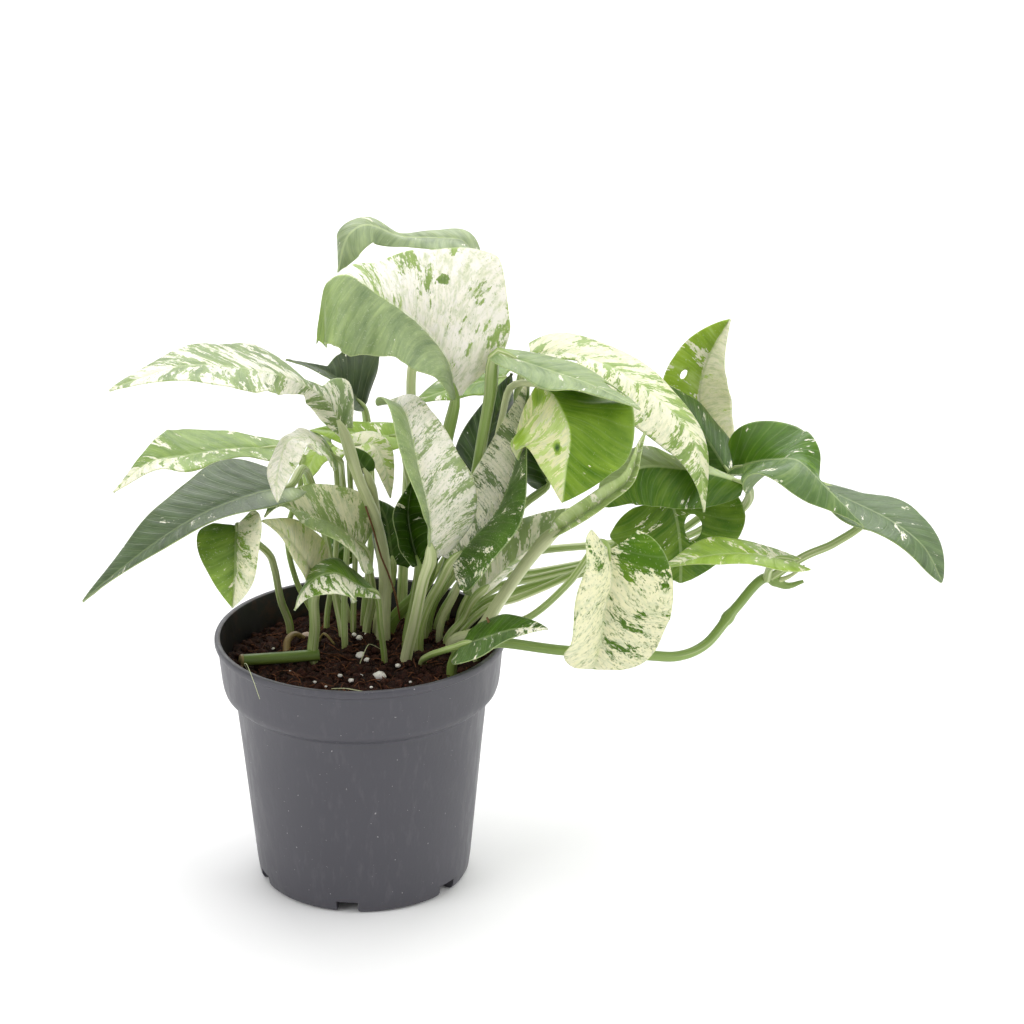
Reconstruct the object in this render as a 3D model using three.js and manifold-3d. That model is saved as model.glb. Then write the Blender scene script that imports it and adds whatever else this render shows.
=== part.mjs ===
// A marbled pothos in its nursery pot. Millimetres, +Z up, the pot's base centre at the origin, -Y to the front.
import * as THREE from "three";
import Module from "manifold-3d";

const rimDiameter = 85;
const potHeight = 75.5;
const wall = 1.2;
const soilLevel = 68;
const stemDepth = 8;
const stemClearance = 0.4;
const bladeThickness = 0.7;
const gap = 0.3;
const notchWidth = 6.3;
const notchHeight = 3.5;
const notchCount = 6;
const leafGreen = "#6f9a4a";

// The plant is set out as its front shows it, seen from 21.5 degrees above the level.
const viewFront = new THREE.Vector3(0, -0.9304, 0.3665);

const wasm = await Module();
wasm.setup();
const { Manifold, Mesh: SolidMesh } = wasm;

// Each leaf: its midrib from the stalk to the tip, the half width at its widest, and the turn of the left and the
// right half out of the front plane, from the base to the tip, in degrees: + comes forward. lobe is how far the base
// reaches back beside the stalk, base and tip are the fullness of the two ends, ratio the widths of the left and the
// right half as shares of width, slant their lean towards the tip in degrees; a list runs from the base to the tip.
// stalk runs from the base of the blade down to the soil.
const leaves = {
  a1: {
    midrib: [[-19, -8, 124], [-28, -16, 125], [-43, -28, 123], [-56, -36, 117], [-75, -42, 103]],
    width: 17, left: [58, 72, 76], right: [-57, -52, -60], lobe: 0.03,
    ratio: [[0.5, 0.7, 0.9, 0.8, 0.7], [1.25, 1.25, 1.08, 0.98, 1, 1.05, 1.1]],
    stalk: [[-16, 1, 126], [-14, 9, 119], [-10, 13, 98], [-8, 14, 82], [-6, 14, 69]], radius: 1.1,
  },
  a2: {
    midrib: [[-25, 26, 123], [-37, 20, 125], [-49, 12, 126], [-60, 6, 126], [-70, -2, 120]],
    width: 15, left: [72, 76, 70, 64], right: [-66, -62, -52, -40],
    ratio: [[1, 0.95, 1.1, 1.6, 1.6], [0.5, 0.55, 0.85, 1.3, 1.28, 1, 0.62, 0.4, 0.3]],
    stalk: [[-19, 29, 121], [-18, 26, 113], [-22, 20, 99], [-20, 25, 81], [-15, 27, 68]], radius: 0.9,
  },
  a3: {
    midrib: [[-4, -2, 139], [-7, -5, 147], [-11, -9, 153], [-17, -13, 158], [-28, -22, 164],
      [-46, -34, 169], [-65, -42, 165]],
    width: 19, left: [-30, -40, 20, 60, 68, 68, 66], right: [-50, -70, -72, -70, -68, -64, -60],
    lobe: 0.04, base: 0.5,
    ratio: [[0.2, 0.4, 0.35, 0.15, 0.25, 0.4, 0.66, 0.95, 1.2, 1.5, 1.4, 1.1, 1],
      [0.5, 1, 0.3, 0.2, 1.2, 1.15, 1.05, 1, 1, 1, 1, 1, 1]],
    stalk: [[0, 0, 124], [5, 6, 107], [7, 11, 90], [6, 13, 70]], radius: 1.6, foot: 2.6,
  },
  a4: {
    midrib: [[0, 42, 130], [-5, 38, 138], [-10, 33, 144], [-15, 25, 149], [-21, 19, 153]],
    width: 15, left: [62, 70, 78], right: [-25, -25, -30, -40, -50, -60], lobe: 0, base: 0.8,
    ratio: [[0.6, 0.6, 0.6, 0.6, 0.6, 0.6], [0.8, 1.25, 1.35, 1.2, 0.5, 0.12, 0.1, 0.1, 0.1, 0.1, 0.1]],
    stalk: [[1, 44, 123], [2, 40, 110], [2, 31, 90], [0, 24, 70]], radius: 1.1,
  },
  a5: {
    midrib: [[-6, -6, 132], [-9, -12, 138], [-13, -17, 142], [-18, -22, 143], [-20, -26, 139],
      [-21, -29, 134], [-21, -31, 128]],
    width: 10, left: [72, 68, 55, 40, 40], right: [-80, -80, -60, -40, -50], lobe: 0, base: 0.7,
    ratio: [1, [0.65, 0.65, 0.65, 0.3, 0.45, 0.85, 0.9]],
    stalk: [[-5, 1, 128], [-5, 13, 117], [-4, 13, 102], [-5, 9, 82], [-5, 7, 68]], radius: 0.9,
  },
  a6: {
    midrib: [[-33, -23, 118], [-33, -28, 115], [-33, -33, 108], [-34, -35, 98]],
    width: 11, left: [50, 45, 35], right: [0, 15, 40], lobe: 0.04,
    stalk: [[-32, -16, 113], [-26, -4, 102], [-25, 6, 93], [-24, 15, 79], [-22, 20, 69]], radius: 1.1,
  },
  a7: {
    midrib: [[-12, -9, 96], [-16, -13, 105], [-21, -18, 114], [-26, -21, 119]],
    width: 10, left: [76, 76, 76], right: [-42, -50, -62], lobe: 0.03,
    stalk: [[-13, -7, 88], [-13, -5, 79], [-14, -3, 70]], radius: 1.6,
  },
  a8: {
    midrib: [[5, -10, 92], [-1, -14, 97], [-6, -19, 102], [-11, -25, 103], [-15, -29, 100], [-17, -32, 96]],
    width: 10, left: [70, 60, 38, 45], right: [-74, -64, -75, -80], lobe: 0.02,
    ratio: [[0.4, 0.55, 1.4, 1.6, 1.1], 0.75],
    stalk: [[6, -6, 80], [7, -3, 67]], radius: 0.9,
  },
  a9: {
    midrib: [[1, 2, 101], [-4, -2, 108], [-15, -8, 116], [-22, -12, 120], [-26, -16, 118]],
    width: 14, left: [74, 72, 72], right: [-40, -44, -55, -60], lobe: 0.05,
    ratio: [1, [1, 1.05, 1.08, 0.95, 0.6]],
    stalk: [[3, 8, 88], [3, 12, 81], [1, 16, 69]], radius: 1.2,
  },
  a10: {
    midrib: [[11, 25, 127], [4, 26, 127], [-5, 26, 128], [-15, 25, 129]],
    width: 9, left: [58, 55, 58], right: [-52, -50, -55], ratio: [1, 0.7],
    stalk: [[13, 26, 117], [16, 24, 87], [13, 22, 70]], radius: 1,
  },
  a11: {
    midrib: [[-2, 15, 128], [4, 15, 128], [7, 13, 123], [9, 11, 113]],
    width: 5, left: [-40, -40, -50], right: [40, 46, 50],
    stalk: [[-3, 17, 118], [-2, 19, 96], [-3, 20, 71]], radius: 0.9,
  },
  a12: {
    midrib: [[2, 8, 122], [0, 7, 126], [-3, 6, 131]],
    width: 4, left: [-60, -60, -60], right: [-20, -20, -20],
    stalk: [[4, 13, 112], [5, 16, 98], [6, 18, 82], [4, 18, 69]], radius: 1.3,
  },
  a13: {
    midrib: [[9, 21, 88], [8, 22, 95], [7, 22, 102], [4, 21, 109]],
    width: 8, left: [-50, -50, -50], right: [-30, -40, -50],
    stalk: [[8, 25, 79], [3, 28, 70]], radius: 1,
  },
  a14: {
    midrib: [[-10, 26, 87], [-7, 25, 91], [-3, 24, 95]],
    width: 8, left: [-40, -40, -50], right: [-50, -50, -60],
    stalk: [[-8, 27, 80], [-5, 28, 69]], radius: 0.9,
  },
  a15: {
    midrib: [[-8, 20, 126], [-12, 18, 125], [-15, 16, 120], [-16, 14, 115]],
    width: 8, left: [50, 60, 60], right: [-60, -60, -60],
    stalk: [[-7, 18, 116], [-8, 18, 91], [-11, 20, 71]], radius: 0.9,
  },
  b1: {
    midrib: [[28, 0, 148], [26, 2, 158], [18, 2, 169], [7, -2, 179], [-2, -8, 187], [-7, -12, 186],
      [-9, -15, 178], [-10, -16, 170]],
    width: 26, left: [80, 74, 60, 50, 35, 20, 6, 4], right: [-45, -10, 0, -15, -55, -105, -130, -130],
    lobe: 0, base: 0.45, tip: 0.5,
    ratio: [[0.7, 0.8, 0.85, 0.83, 0.8, 0.75, 0.76, 0.92, 1.05, 0.8, 0.45, 0.3],
      [0.3, 1, 1.2, 0.72, 0.36, 0.18, 0.2, 0.3]],
    slant: [[0, 0, 0, 0, 0, -5, -12, -10, 32, 74, 86, 88], [0, 0, 0, 0, 0, 0, 0, 0]],
    stalk: [[26, 2, 137], [23, 6, 114], [19, 14, 86], [8, 18, 70]], radius: 1.6, foot: 2.2,
  },
  b2: {
    midrib: [[34, 48, 172], [30, 46, 180], [22, 43, 182], [12, 38, 184], [2, 33, 189], [-3, 28, 187],
      [-6, 25, 177]],
    width: 14, left: [70, 70, 60, 40, 20, 0], right: [-65, -62, -60, -60, -60, -62, -70], lobe: 0.05,
    ratio: [[1, 1, 0.8, 0.4, 0.7, 1.35, 1.2], [0.5, 0.5, 0.35, 0.15, 0.5, 1.35, 1.1]],
    slant: [[0, 0, 0, 0, 0, 30, 50], 0],
    stalk: [[23, 48, 160], [15, 44, 144], [14, 42, 130], [13, 38, 110], [12, 32, 90], [11, 28, 70]],
    radius: 1.5,
  },
  b3: {
    midrib: [[42, 34, 142], [32, 34, 140], [23, 32, 138], [15, 28, 136]],
    width: 13, left: [74, 70, 66], right: [-68, -66, -70],
    stalk: [[38, 36, 125], [27, 34, 91], [15, 28, 70]], radius: 1,
  },
  b4: {
    midrib: [[21, -16, 105], [21, -20, 119], [18, -20, 134], [14, -14, 149], [8, 0, 147]],
    width: 16, left: [80, 76, 72, 62], right: [-40, -26, -34, -50], lobe: 0.02, base: 0.5,
    ratio: [[0.05, 0.05, 0.45, 0.8, 1, 1, 1], [1, 1, 1, 0.9, 0.88, 0.9, 1]],
    stalk: [[19, -14, 98], [16, -8, 82], [13, -4, 67]], radius: 1.6,
  },
  b5: {
    midrib: [[17, 4, 95], [15, 6, 102], [14, 6, 111], [16, 4, 123]],
    width: 11, left: [58, 60, 60], right: [30, 30, 30], lobe: 0, ratio: [[0.5, 0.7, 1, 1], 1],
    stalk: [[16, 6, 86], [13, 8, 70]], radius: 1.2,
  },
  b6: {
    midrib: [[27, -3, 99], [34, -5, 108], [40, -4, 115], [44, -1, 124], [47, 6, 136], [49, 14, 149]],
    width: 17, left: [10, 10, 10, 10], right: [48, 64, 76, 78], lobe: 0.02,
    ratio: [[0.5, 0.7, 0.75, 0.75, 0.7], [1, 1, 0.85, 0.8]],
    stalk: [[24, 0, 92], [20, 4, 83], [17, 5, 73]], radius: 1.5,
  },
  b7: {
    midrib: [[32, 16, 101], [34, 16, 112], [37, 16, 129], [44, 12, 151]],
    width: 14, left: [-50, -50, -60], right: [-50, -55, -60],
    stalk: [[27, 19, 88], [19, 24, 72]], radius: 1.2,
  },
  c1: {
    midrib: [[40, 1, 161], [53, -1, 157], [66, -6, 154], [80, -18, 151]],
    width: 16, left: [-68, -68, -74], right: [72, 68, 74], lobe: 0.02,
    ratio: [[0.3, 0.75, 0.8, 0.8, 0.8], [0.9, 0.95, 1.05, 1.1, 1]],
    stalk: [[38, 2, 148], [36, 2, 136], [33, 6, 118], [25, 12, 90], [19, 16, 72]], radius: 1.8,
  },
  c2: {
    midrib: [[51, 2, 151], [55, -5, 151], [58, -12, 148], [60, -17, 143], [59, -22, 135], [58, -26, 126]],
    width: 21, left: [-60, -35, -10, 0, -20], right: [-10, -20, -35, -50], lobe: 0, base: 0.5,
    ratio: [[0.6, 0.9, 1, 1.15, 1.3], [1.6, 0.8, 0.9, 0.8, 0.8]],
    stalk: [[44, 9, 148], [41, 10, 137], [36, 12, 112], [28, 12, 84], [23, 12, 72]], radius: 1,
  },
  c3: {
    midrib: [[55, -6, 108], [63, -12, 116], [71, -14, 123], [77, -13, 128], [80, -9, 136], [82, -6, 140]],
    width: 6, left: [50, 50, 50, 50], right: [60, 60, 55, 40, 30], lobe: 0, base: 0.6,
    ratio: [[0.6, 1, 1, 0.8, 0.8], 0.5],
    stalk: [[48, -3, 98], [41, 0, 86], [34, 3, 74], [27, 5, 70]], radius: 1.9,
  },
  c4: {
    midrib: [[111, 5, 120], [102, 2, 124], [92, -1, 127], [81, -3, 128], [73, -5, 124], [69, -6, 117]],
    width: 15, left: [-5, 0, 0, 0], right: [-85, -74, -58, -50], lobe: 0, base: 0.55, tip: 0.8,
    ratio: [[0.7, 0.75, 0.8, 1, 1.5], 0.85],
    stalk: [[113, 13, 112], [107, 20, 102], [94, 22, 93], [66, 18, 87], [44, 14, 82], [36, 13, 79],
      [27, 12, 69]], radius: 1.2,
  },
  c5: {
    midrib: [[49, 32, 149], [58, 28, 152], [71, 20, 151], [85, 10, 145], [96, 0, 135], [99, -8, 116]],
    width: 14.5, left: [-62, -66, -68], right: [72, 66, 35, 30, 60], lobe: 0.04,
    ratio: [[1, 1, 1, 1.2, 1.4], [0.75, 0.75, 1.15, 1.4, 0.7]],
    stalk: [[46, 33, 138], [42, 34, 114], [34, 32, 90], [20, 30, 70]], radius: 1.2,
  },
  c6: {
    midrib: [[109, 30, 112], [103, 30, 122], [96, 28, 133], [88, 26, 143]],
    width: 12, left: [-20, -30, -30], right: [-60, -60, -60], ratio: [0.5, 1],
    stalk: [[103, 34, 96], [84, 34, 88], [52, 28, 83], [36, 25, 82], [30, 20, 76], [28, 19, 69]],
    radius: 1.1,
  },
  d1: {
    midrib: [[106, 50, 111], [100, 48, 130], [102, 46, 143], [108, 40, 158]],
    width: 12.5, left: [30, 20, 10], right: [35, 30, 60], lobe: 0.05, tip: 0.75,
    ratio: [1.08, [0.6, 0.75, 0.95, 0.95, 0.95]],
    stalk: [[101, 50, 99], [83, 44, 88], [52, 37, 86], [34, 31, 84], [26, 25, 76], [24, 24, 69]],
    radius: 1.2,
  },
  d2: {
    midrib: [[109, 22, 118], [115, 17, 122], [120, 11, 125], [126, 2, 128], [134, -8, 123],
      [144, -14, 114]],
    width: 15, left: [-20, -58, -88, -90], right: [70, 66, 50, 40, 60], lobe: 0.02, base: 0.4,
    ratio: [[1, 1, 0.68, 0.45, 0.5], [0.3, 0.5, 1, 1.5, 1.3, 1, 0.9]],
    stalk: [[105, 27, 106], [86, 28, 91], [54, 22, 84], [38, 18, 81], [30, 15, 70]], radius: 1.2,
  },
  d3: {
    midrib: [[133, 14, 116], [141, 8, 114], [154, -1, 110], [162, -8, 105], [167, -12, 96]],
    width: 16, left: [-76, -66, -60, -55], right: [80, 66, 62, 60], lobe: 0.02, base: 0.5, tip: 0.75,
    stalk: [[141, 17, 111], [147, 13, 106], [138, 9, 100], [129, 6, 97], [119, 4, 91]], radius: 1.3,
  },
  e1: {
    midrib: [[71, -26, 112], [72, -31, 105], [70, -34, 97], [69, -34, 88], [67, -32, 78]],
    width: 18.5, left: [0, -5, -10], right: [64, 58, 30], lobe: 0.12, tip: 0.4,
    ratio: [1, [1, 0.95, 0.85, 0.8, 0.8]],
    stalk: [[69, -21, 112], [60, -13, 96], [49, -9, 84], [39, -6, 79], [34, -4, 70]], radius: 1.1,
  },
  e2: {
    midrib: [[124, -10, 102], [112, -12, 105], [99, -14, 105], [86, -18, 103]],
    width: 11, left: [75, 72, 75], right: [-72, -60, -72], ratio: [1, [0.6, 0.6, 0.9, 1.2, 1.3, 1.2]],
    stalk: [[119, -6, 99], [118, 3, 91]], radius: 1.1,
  },
  e3: {
    midrib: [[90, 9, 114], [92, 7, 107], [93, 4, 99], [93, 2, 90]],
    width: 20, left: [-10, 0, -10], right: [0, 0, -20], lobe: 0, tip: 0.7,
    ratio: [[1, 1, 0.9, 0.75], [1, 1, 0.9, 0.75]],
    stalk: [[82, 16, 103], [68, 13, 92], [46, 10, 82], [37, 10, 79], [28, 9, 69]], radius: 1.1,
  },
  f1: {
    midrib: [[33, 7, 83], [44, 10, 93], [55, 13, 101], [70, 16, 108]],
    width: 13, left: [-40, -45, -55], right: [-74, -78, -70], lobe: 0.03, base: 0.6, ratio: [1, 0.55],
    stalk: [[30, 9, 76], [25, 9, 69]], radius: 1.2,
  },
  g1: {
    midrib: [[30, -22, 81], [37, -30, 87], [45, -36, 92], [54, -42, 95]],
    width: 9, left: [-60, -60, -60], right: [60, 60, 65], lobe: 0.03,
    stalk: [[25, -19, 78], [20, -12, 73], [18, -6, 68]], radius: 1.1,
  },
  h1: {
    midrib: [[55, 28, 111], [53, 28, 115], [49, 30, 124]],
    width: 9, left: [-50, -50, -50], right: [-50, -50, -50],
    stalk: [[48, 30, 104], [40, 28, 94], [33, 25, 86], [28, 23, 80], [22, 20, 70]], radius: 1.1,
  },
};

const vectors = (points) => points.map((p) => new THREE.Vector3(...p));
const curveThrough = (points) => new THREE.CatmullRomCurve3(points, false, "centripetal");

function solidFrom(positions, triangles) {
  return new Manifold(new SolidMesh({
    numProp: 3,
    vertProperties: new Float32Array(positions.flatMap((p) => [p.x, p.y, p.z])),
    triVerts: new Uint32Array(triangles.flat()),
  }));
}

// A tube of six sides along a curve, with a radius given at each step.
function tube(points, radiusAt, steps, sides = 6) {
  const curve = curveThrough(points);
  const frames = curve.computeFrenetFrames(steps, false);
  const positions = [];
  const triangles = [];
  for (let i = 0; i <= steps; i++) {
    const centre = curve.getPointAt(i / steps);
    for (let k = 0; k < sides; k++) {
      const turn = (2 * Math.PI * k) / sides;
      positions.push(
        centre.clone()
          .addScaledVector(frames.normals[i], radiusAt(i / steps) * Math.cos(turn))
          .addScaledVector(frames.binormals[i], radiusAt(i / steps) * Math.sin(turn)),
      );
    }
  }
  const at = (i, k) => i * sides + (k % sides);
  for (let i = 0; i < steps; i++)
    for (let k = 0; k < sides; k++)
      triangles.push([at(i, k), at(i, k + 1), at(i + 1, k + 1)], [at(i, k), at(i + 1, k + 1), at(i + 1, k)]);
  for (let k = 1; k < sides - 1; k++)
    triangles.push([at(0, 0), at(0, k + 1), at(0, k)], [at(steps, 0), at(steps, k), at(steps, k + 1)]);
  const solid = solidFrom(positions, triangles);
  return solid.volume() < 0 ? solidFrom(positions, triangles.map(([a, b, c]) => [a, c, b])) : solid;
}

function along(values, t) {
  if (!Array.isArray(values)) return values;
  const x = t * (values.length - 1);
  const k = Math.min(Math.floor(x), values.length - 2);
  const u = x - k;
  const eased = 0.5 * u * u * (3 - 2 * u) + 0.5 * u;
  return values[k] * (1 - eased) + values[k + 1] * eased;
}

// The blade's middle surface: rows from the stalk to the tip, columns from the left margin to the right one.
function bladeRows(leaf, rowCount, halfCount) {
  const { lobe = 0.1, base = 0.35, tip = 0.95, ratio = [1, 1], slant = [0, 0], curl = -16 } = leaf;
  const curve = curveThrough(vectors(leaf.midrib));
  const length = curve.getLength();
  const peakAt = base / (base + tip);
  const peak = (peakAt + 0.03) ** base * (1 - peakAt) ** tip;
  const rows = [];
  for (let i = 0; i <= rowCount; i++) {
    const t = i / rowCount;
    const centre = curve.getPointAt(t);
    const tangent = curve.getTangentAt(t);
    const side = tangent.clone().cross(viewFront).normalize();
    const out = side.clone().cross(tangent);
    const halfWidth = (leaf.width * (t + 0.03) ** base * (1 - t) ** tip) / peak;
    const row = [centre];
    const halves = [[-1, leaf.left, ratio[0], slant[0]], [1, leaf.right, ratio[1], slant[1]]];
    for (const [sign, turns, share, slants] of halves) {
      const point = centre.clone();
      const lean = THREE.MathUtils.degToRad(along(slants, t));
      const step = (halfWidth * along(share, t)) / halfCount;
      for (let j = 1; j <= halfCount; j++) {
        const turn = THREE.MathUtils.degToRad(along(turns, t) + curl * ((j - 0.5) / halfCount - 0.5));
        point.addScaledVector(side, step * sign * Math.cos(turn) * Math.cos(lean))
          .addScaledVector(out, step * Math.sin(turn) * Math.cos(lean))
          .addScaledVector(tangent, step * Math.sin(lean));
        const back = lobe * length * (1 - t) ** 4 * (j / halfCount) ** 1.5;
        row[sign < 0 ? "unshift" : "push"](point.clone().addScaledVector(tangent, -back));
      }
    }
    rows.push(row);
  }
  return rows;
}

// The blade as a closed sheet: the same triangles on both faces, joined round the edge, with one point at the tip.
function blade(leaf, rowCount, halfCount) {
  const rows = bladeRows(leaf, rowCount, halfCount);
  const columns = 2 * halfCount + 1;
  const normalAt = (i, j) => {
    const ahead = rows[Math.min(i + 1, rowCount - 1)][j].clone().sub(rows[Math.max(i - 1, 0)][j]);
    const across = rows[i][Math.min(j + 1, columns - 1)].clone().sub(rows[i][Math.max(j - 1, 0)]);
    return across.cross(ahead).normalize();
  };
  const upper = [];
  const lower = [];
  for (let i = 0; i < rowCount; i++)
    for (let j = 0; j < columns; j++) {
      const shift = normalAt(i, j).multiplyScalar(bladeThickness / 2);
      upper.push(rows[i][j].clone().add(shift));
      lower.push(rows[i][j].clone().sub(shift));
    }
  const tipShift = normalAt(rowCount - 1, halfCount).multiplyScalar(bladeThickness / 2);
  const tipPoint = rows[rowCount][halfCount];
  upper.push(tipPoint.clone().add(tipShift));
  lower.push(tipPoint.clone().sub(tipShift));
  const count = upper.length;
  const at = (i, j) => (i === rowCount ? count - 1 : i * columns + j);
  const face = [];
  for (let i = 0; i < rowCount; i++)
    for (let j = 0; j < columns - 1; j++) {
      face.push([at(i, j), at(i, j + 1), at(i + 1, j + 1)]);
      if (i < rowCount - 1) face.push([at(i, j), at(i + 1, j + 1), at(i + 1, j)]);
    }
  const edge = [];
  for (let j = 0; j < columns - 1; j++) edge.push([at(0, j), at(0, j + 1)]);
  for (let i = 0; i < rowCount; i++) edge.push([at(i, columns - 1), at(i + 1, columns - 1)]);
  for (let i = rowCount; i > 0; i--) edge.push([at(i, 0), at(i - 1, 0)]);
  const triangles = [
    ...face,
    ...face.map(([a, b, c]) => [a + count, c + count, b + count]),
    ...edge.flatMap(([a, b]) => [[b, a, a + count], [b, a + count, b + count]]),
  ];
  return solidFrom([...upper, ...lower], triangles);
}

function stalkPoints(leaf) {
  const points = vectors([...leaf.midrib.slice(1, 2), leaf.midrib[0], ...leaf.stalk]);
  points[0].lerp(points[1], 0.6);
  return points;
}

// A stalk goes on below the soil's surface for its last length.
function rooted(points) {
  const last = points.at(-1);
  return [...points, new THREE.Vector3(last.x, last.y, soilLevel - stemDepth)];
}

const root = new THREE.Group();
function add(name, solid, colour, roughness) {
  const mesh = solid.getMesh();
  const geometry = new THREE.BufferGeometry()
    .setAttribute("position", new THREE.BufferAttribute(mesh.vertProperties, 3))
    .setIndex(new THREE.BufferAttribute(mesh.triVerts, 1))
    .toNonIndexed();
  geometry.computeVertexNormals();
  const made = new THREE.Mesh(geometry, new THREE.MeshStandardMaterial({ color: colour, roughness }));
  made.name = name;
  root.add(made);
}

// Stalks thicken a little towards the soil, and some stand on a swollen foot.
function stalkRadius(leaf, grow = 0) {
  const foot = leaf.foot ?? leaf.radius * 1.15;
  return (t) => leaf.radius + (foot - leaf.radius) * t ** 4 + grow;
}

function leafSolid(leaf, points) {
  const [rowCount, halfCount] = leaf.width > 12 ? [8, 3] : [5, 2];
  return blade(leaf, rowCount, halfCount).add(tube(points, stalkRadius(leaf), 8));
}

// The trailing vine with the two leaves it carries, and the cut stem that lies on the soil with its one leaf.
const vinePoints = [[27, -14, 62], [27, -15, 72], [31, -18, 79], [39, -20, 81], [58, -21, 79], [82, -20, 77],
  [92, -16, 75], [100, -10, 76], [109, -2, 84], [118, 4, 91], [124, 5, 88], [129, 6, 89]];
const vineRadius = (t) => (t > 0.93 ? 1.5 - (t - 0.93) * 14 : 1.5);
const cutStemPoints = [[-34, -8, 70], [-22, -6, 70], [-12, -4, 70]];
const cutStemRadius = 1.8;

const borne = { vine: ["d3", "e2"], cutting: ["a7"] };
const stemTubes = [];
for (const key of Object.keys(leaves)) {
  if (Object.values(borne).flat().includes(key)) continue;
  const points = rooted(stalkPoints(leaves[key]));
  stemTubes.push(tube(points, stalkRadius(leaves[key], stemClearance), 8));
  add("leaf_" + key, leafSolid(leaves[key], points), leafGreen, 0.4);
}

const vine = borne.vine.reduce(
  (solid, key) => solid.add(leafSolid(leaves[key], stalkPoints(leaves[key]))),
  tube(vectors(vinePoints), vineRadius, 24),
);
stemTubes.push(tube(vectors(vinePoints), () => 1.5 + stemClearance, 24));
add("vine", vine, leafGreen, 0.4);

const cuttingPoints = rooted(stalkPoints(leaves.a7));
add("cutting", leafSolid(leaves.a7, cuttingPoints).add(tube(vectors(cutStemPoints), () => cutStemRadius, 4, 8)),
  leafGreen, 0.4);
stemTubes.push(tube(cuttingPoints, stalkRadius(leaves.a7, stemClearance), 8));
stemTubes.push(tube(vectors(cutStemPoints), () => cutStemRadius + stemClearance, 4, 8));

// The pot: a tapered body, a deep collar round its mouth, a thin rolled rim, and a foot ring with drain notches.
const rimRadius = rimDiameter / 2;
const outerProfile = [[30.2, 0], [31.2, 1.2], [31.7, 5], [35.2, 41], [36.8, 56.4], [38.9, 58.1], [40.1, 60],
  [40.5, 62.6], [rimRadius - 0.9, potHeight - 2.4], [rimRadius, potHeight - 1.6], [rimRadius, potHeight - 0.4],
  [rimRadius - 0.5, potHeight]];
const innerProfile = [[rimRadius - 1.4, potHeight], [rimRadius - 1.9, potHeight - 1], [39.3, 62.6], [38.6, 60.6],
  [37.2, 59], [35.5, 57.4], [35.2 - wall, 41], [31.8 - wall, 5], [30.8 - wall, 3.4], [0, 3.4]];
const baseProfile = [[0, 0], [14, 0], [14.6, 1.8], [26.4, 1.8], [27, 0]];
const lathed = (profile, segments) => {
  const section = new wasm.CrossSection([profile]);
  return Manifold.revolve(section, segments);
};
let pot = lathed([...baseProfile, ...outerProfile, ...innerProfile], 40);
const drainProfile = new wasm.CrossSection([[[-notchWidth / 2, -1], [notchWidth / 2, -1],
  [notchWidth / 2, notchHeight - 1], [notchWidth / 2 - 1, notchHeight], [1 - notchWidth / 2, notchHeight],
  [-notchWidth / 2, notchHeight - 1]]]);
for (let i = 0; i < notchCount; i++)
  pot = pot.subtract(
    Manifold.extrude(drainProfile, 16).rotate([90, 0, 0]).translate([0, -24, 0]).rotate([0, 0, i * 60 - 7]),
  );
add("pot", pot, "#55545a", 0.5);

// The soil fills the pot: its top is uneven, a little higher at the front, lower at the back left.
function soilTop(x, y) {
  const front = Math.max(0, (-y - 14) / 24);
  const backLeft = Math.max(0, (y - x - 20) / 40);
  const lumps = 0.5 * Math.sin(x * 0.61 + 1.3 * Math.cos(y * 0.37)) + 0.4 * Math.sin(y * 0.83 + x * 0.29 + 2);
  return soilLevel - 0.6 + 3 * front ** 2 - 2.5 * backLeft + lumps;
}
function soilSolid() {
  const ringCount = 7;
  const segments = 36;
  const topRadius = 39.2;
  const positions = [new THREE.Vector3(0, 0, soilTop(0, 0))];
  for (let i = 1; i <= ringCount; i++)
    for (let k = 0; k < segments; k++) {
      const turn = (2 * Math.PI * k) / segments;
      const x = ((topRadius * i) / ringCount) * Math.cos(turn);
      const y = ((topRadius * i) / ringCount) * Math.sin(turn);
      positions.push(new THREE.Vector3(x, y, soilTop(x, y)));
    }
  const sides = [[38, 62], [34.7, 57], [29.4, 4.2]];
  for (const [radius, z] of sides)
    for (let k = 0; k < segments; k++) {
      const turn = (2 * Math.PI * k) / segments;
      positions.push(new THREE.Vector3(radius * Math.cos(turn), radius * Math.sin(turn), z));
    }
  positions.push(new THREE.Vector3(0, 0, 4.2));
  const at = (ring, k) => 1 + (ring - 1) * segments + (k % segments);
  const rings = ringCount + sides.length;
  const triangles = [];
  for (let k = 0; k < segments; k++) {
    triangles.push([0, at(1, k), at(1, k + 1)], [positions.length - 1, at(rings, k + 1), at(rings, k)]);
    for (let i = 1; i < rings; i++)
      triangles.push([at(i, k), at(i + 1, k), at(i + 1, k + 1)], [at(i, k), at(i + 1, k + 1), at(i, k + 1)]);
  }
  return solidFrom(positions, triangles);
}

// Stones and perlite bedded in the soil: place, radius, and how flat each one lies.
const stones = {
  pebble: { place: [-16, 15, 67], radius: 2, flat: 0.8, colour: "#d9c9bd" },
  perlite_front: { place: [6, -15, 68], radius: 1.6, flat: 0.8, colour: "#eeeae4" },
  perlite_mid: { place: [0, 0, 68], radius: 1.3, flat: 0.9, colour: "#eeeae4" },
};
const stoneSolid = ({ place, radius, flat }, grow = 0) =>
  Manifold.sphere(radius + grow, 8).scale([1.15, 1, flat]).rotate([10, 20, 35]).translate(place);

const bedded = Object.values(stones).map((stone) => stoneSolid(stone, gap));
add("soil", soilSolid().subtract(Manifold.union([...stemTubes, ...bedded])), "#38291f", 0.95);
for (const [name, stone] of Object.entries(stones)) add(name, stoneSolid(stone), stone.colour, 0.8);

export default root;
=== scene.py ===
import math
import bmesh
import bpy
import numpy as np
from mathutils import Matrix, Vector
from mathutils import noise as noiseMaker


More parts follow.
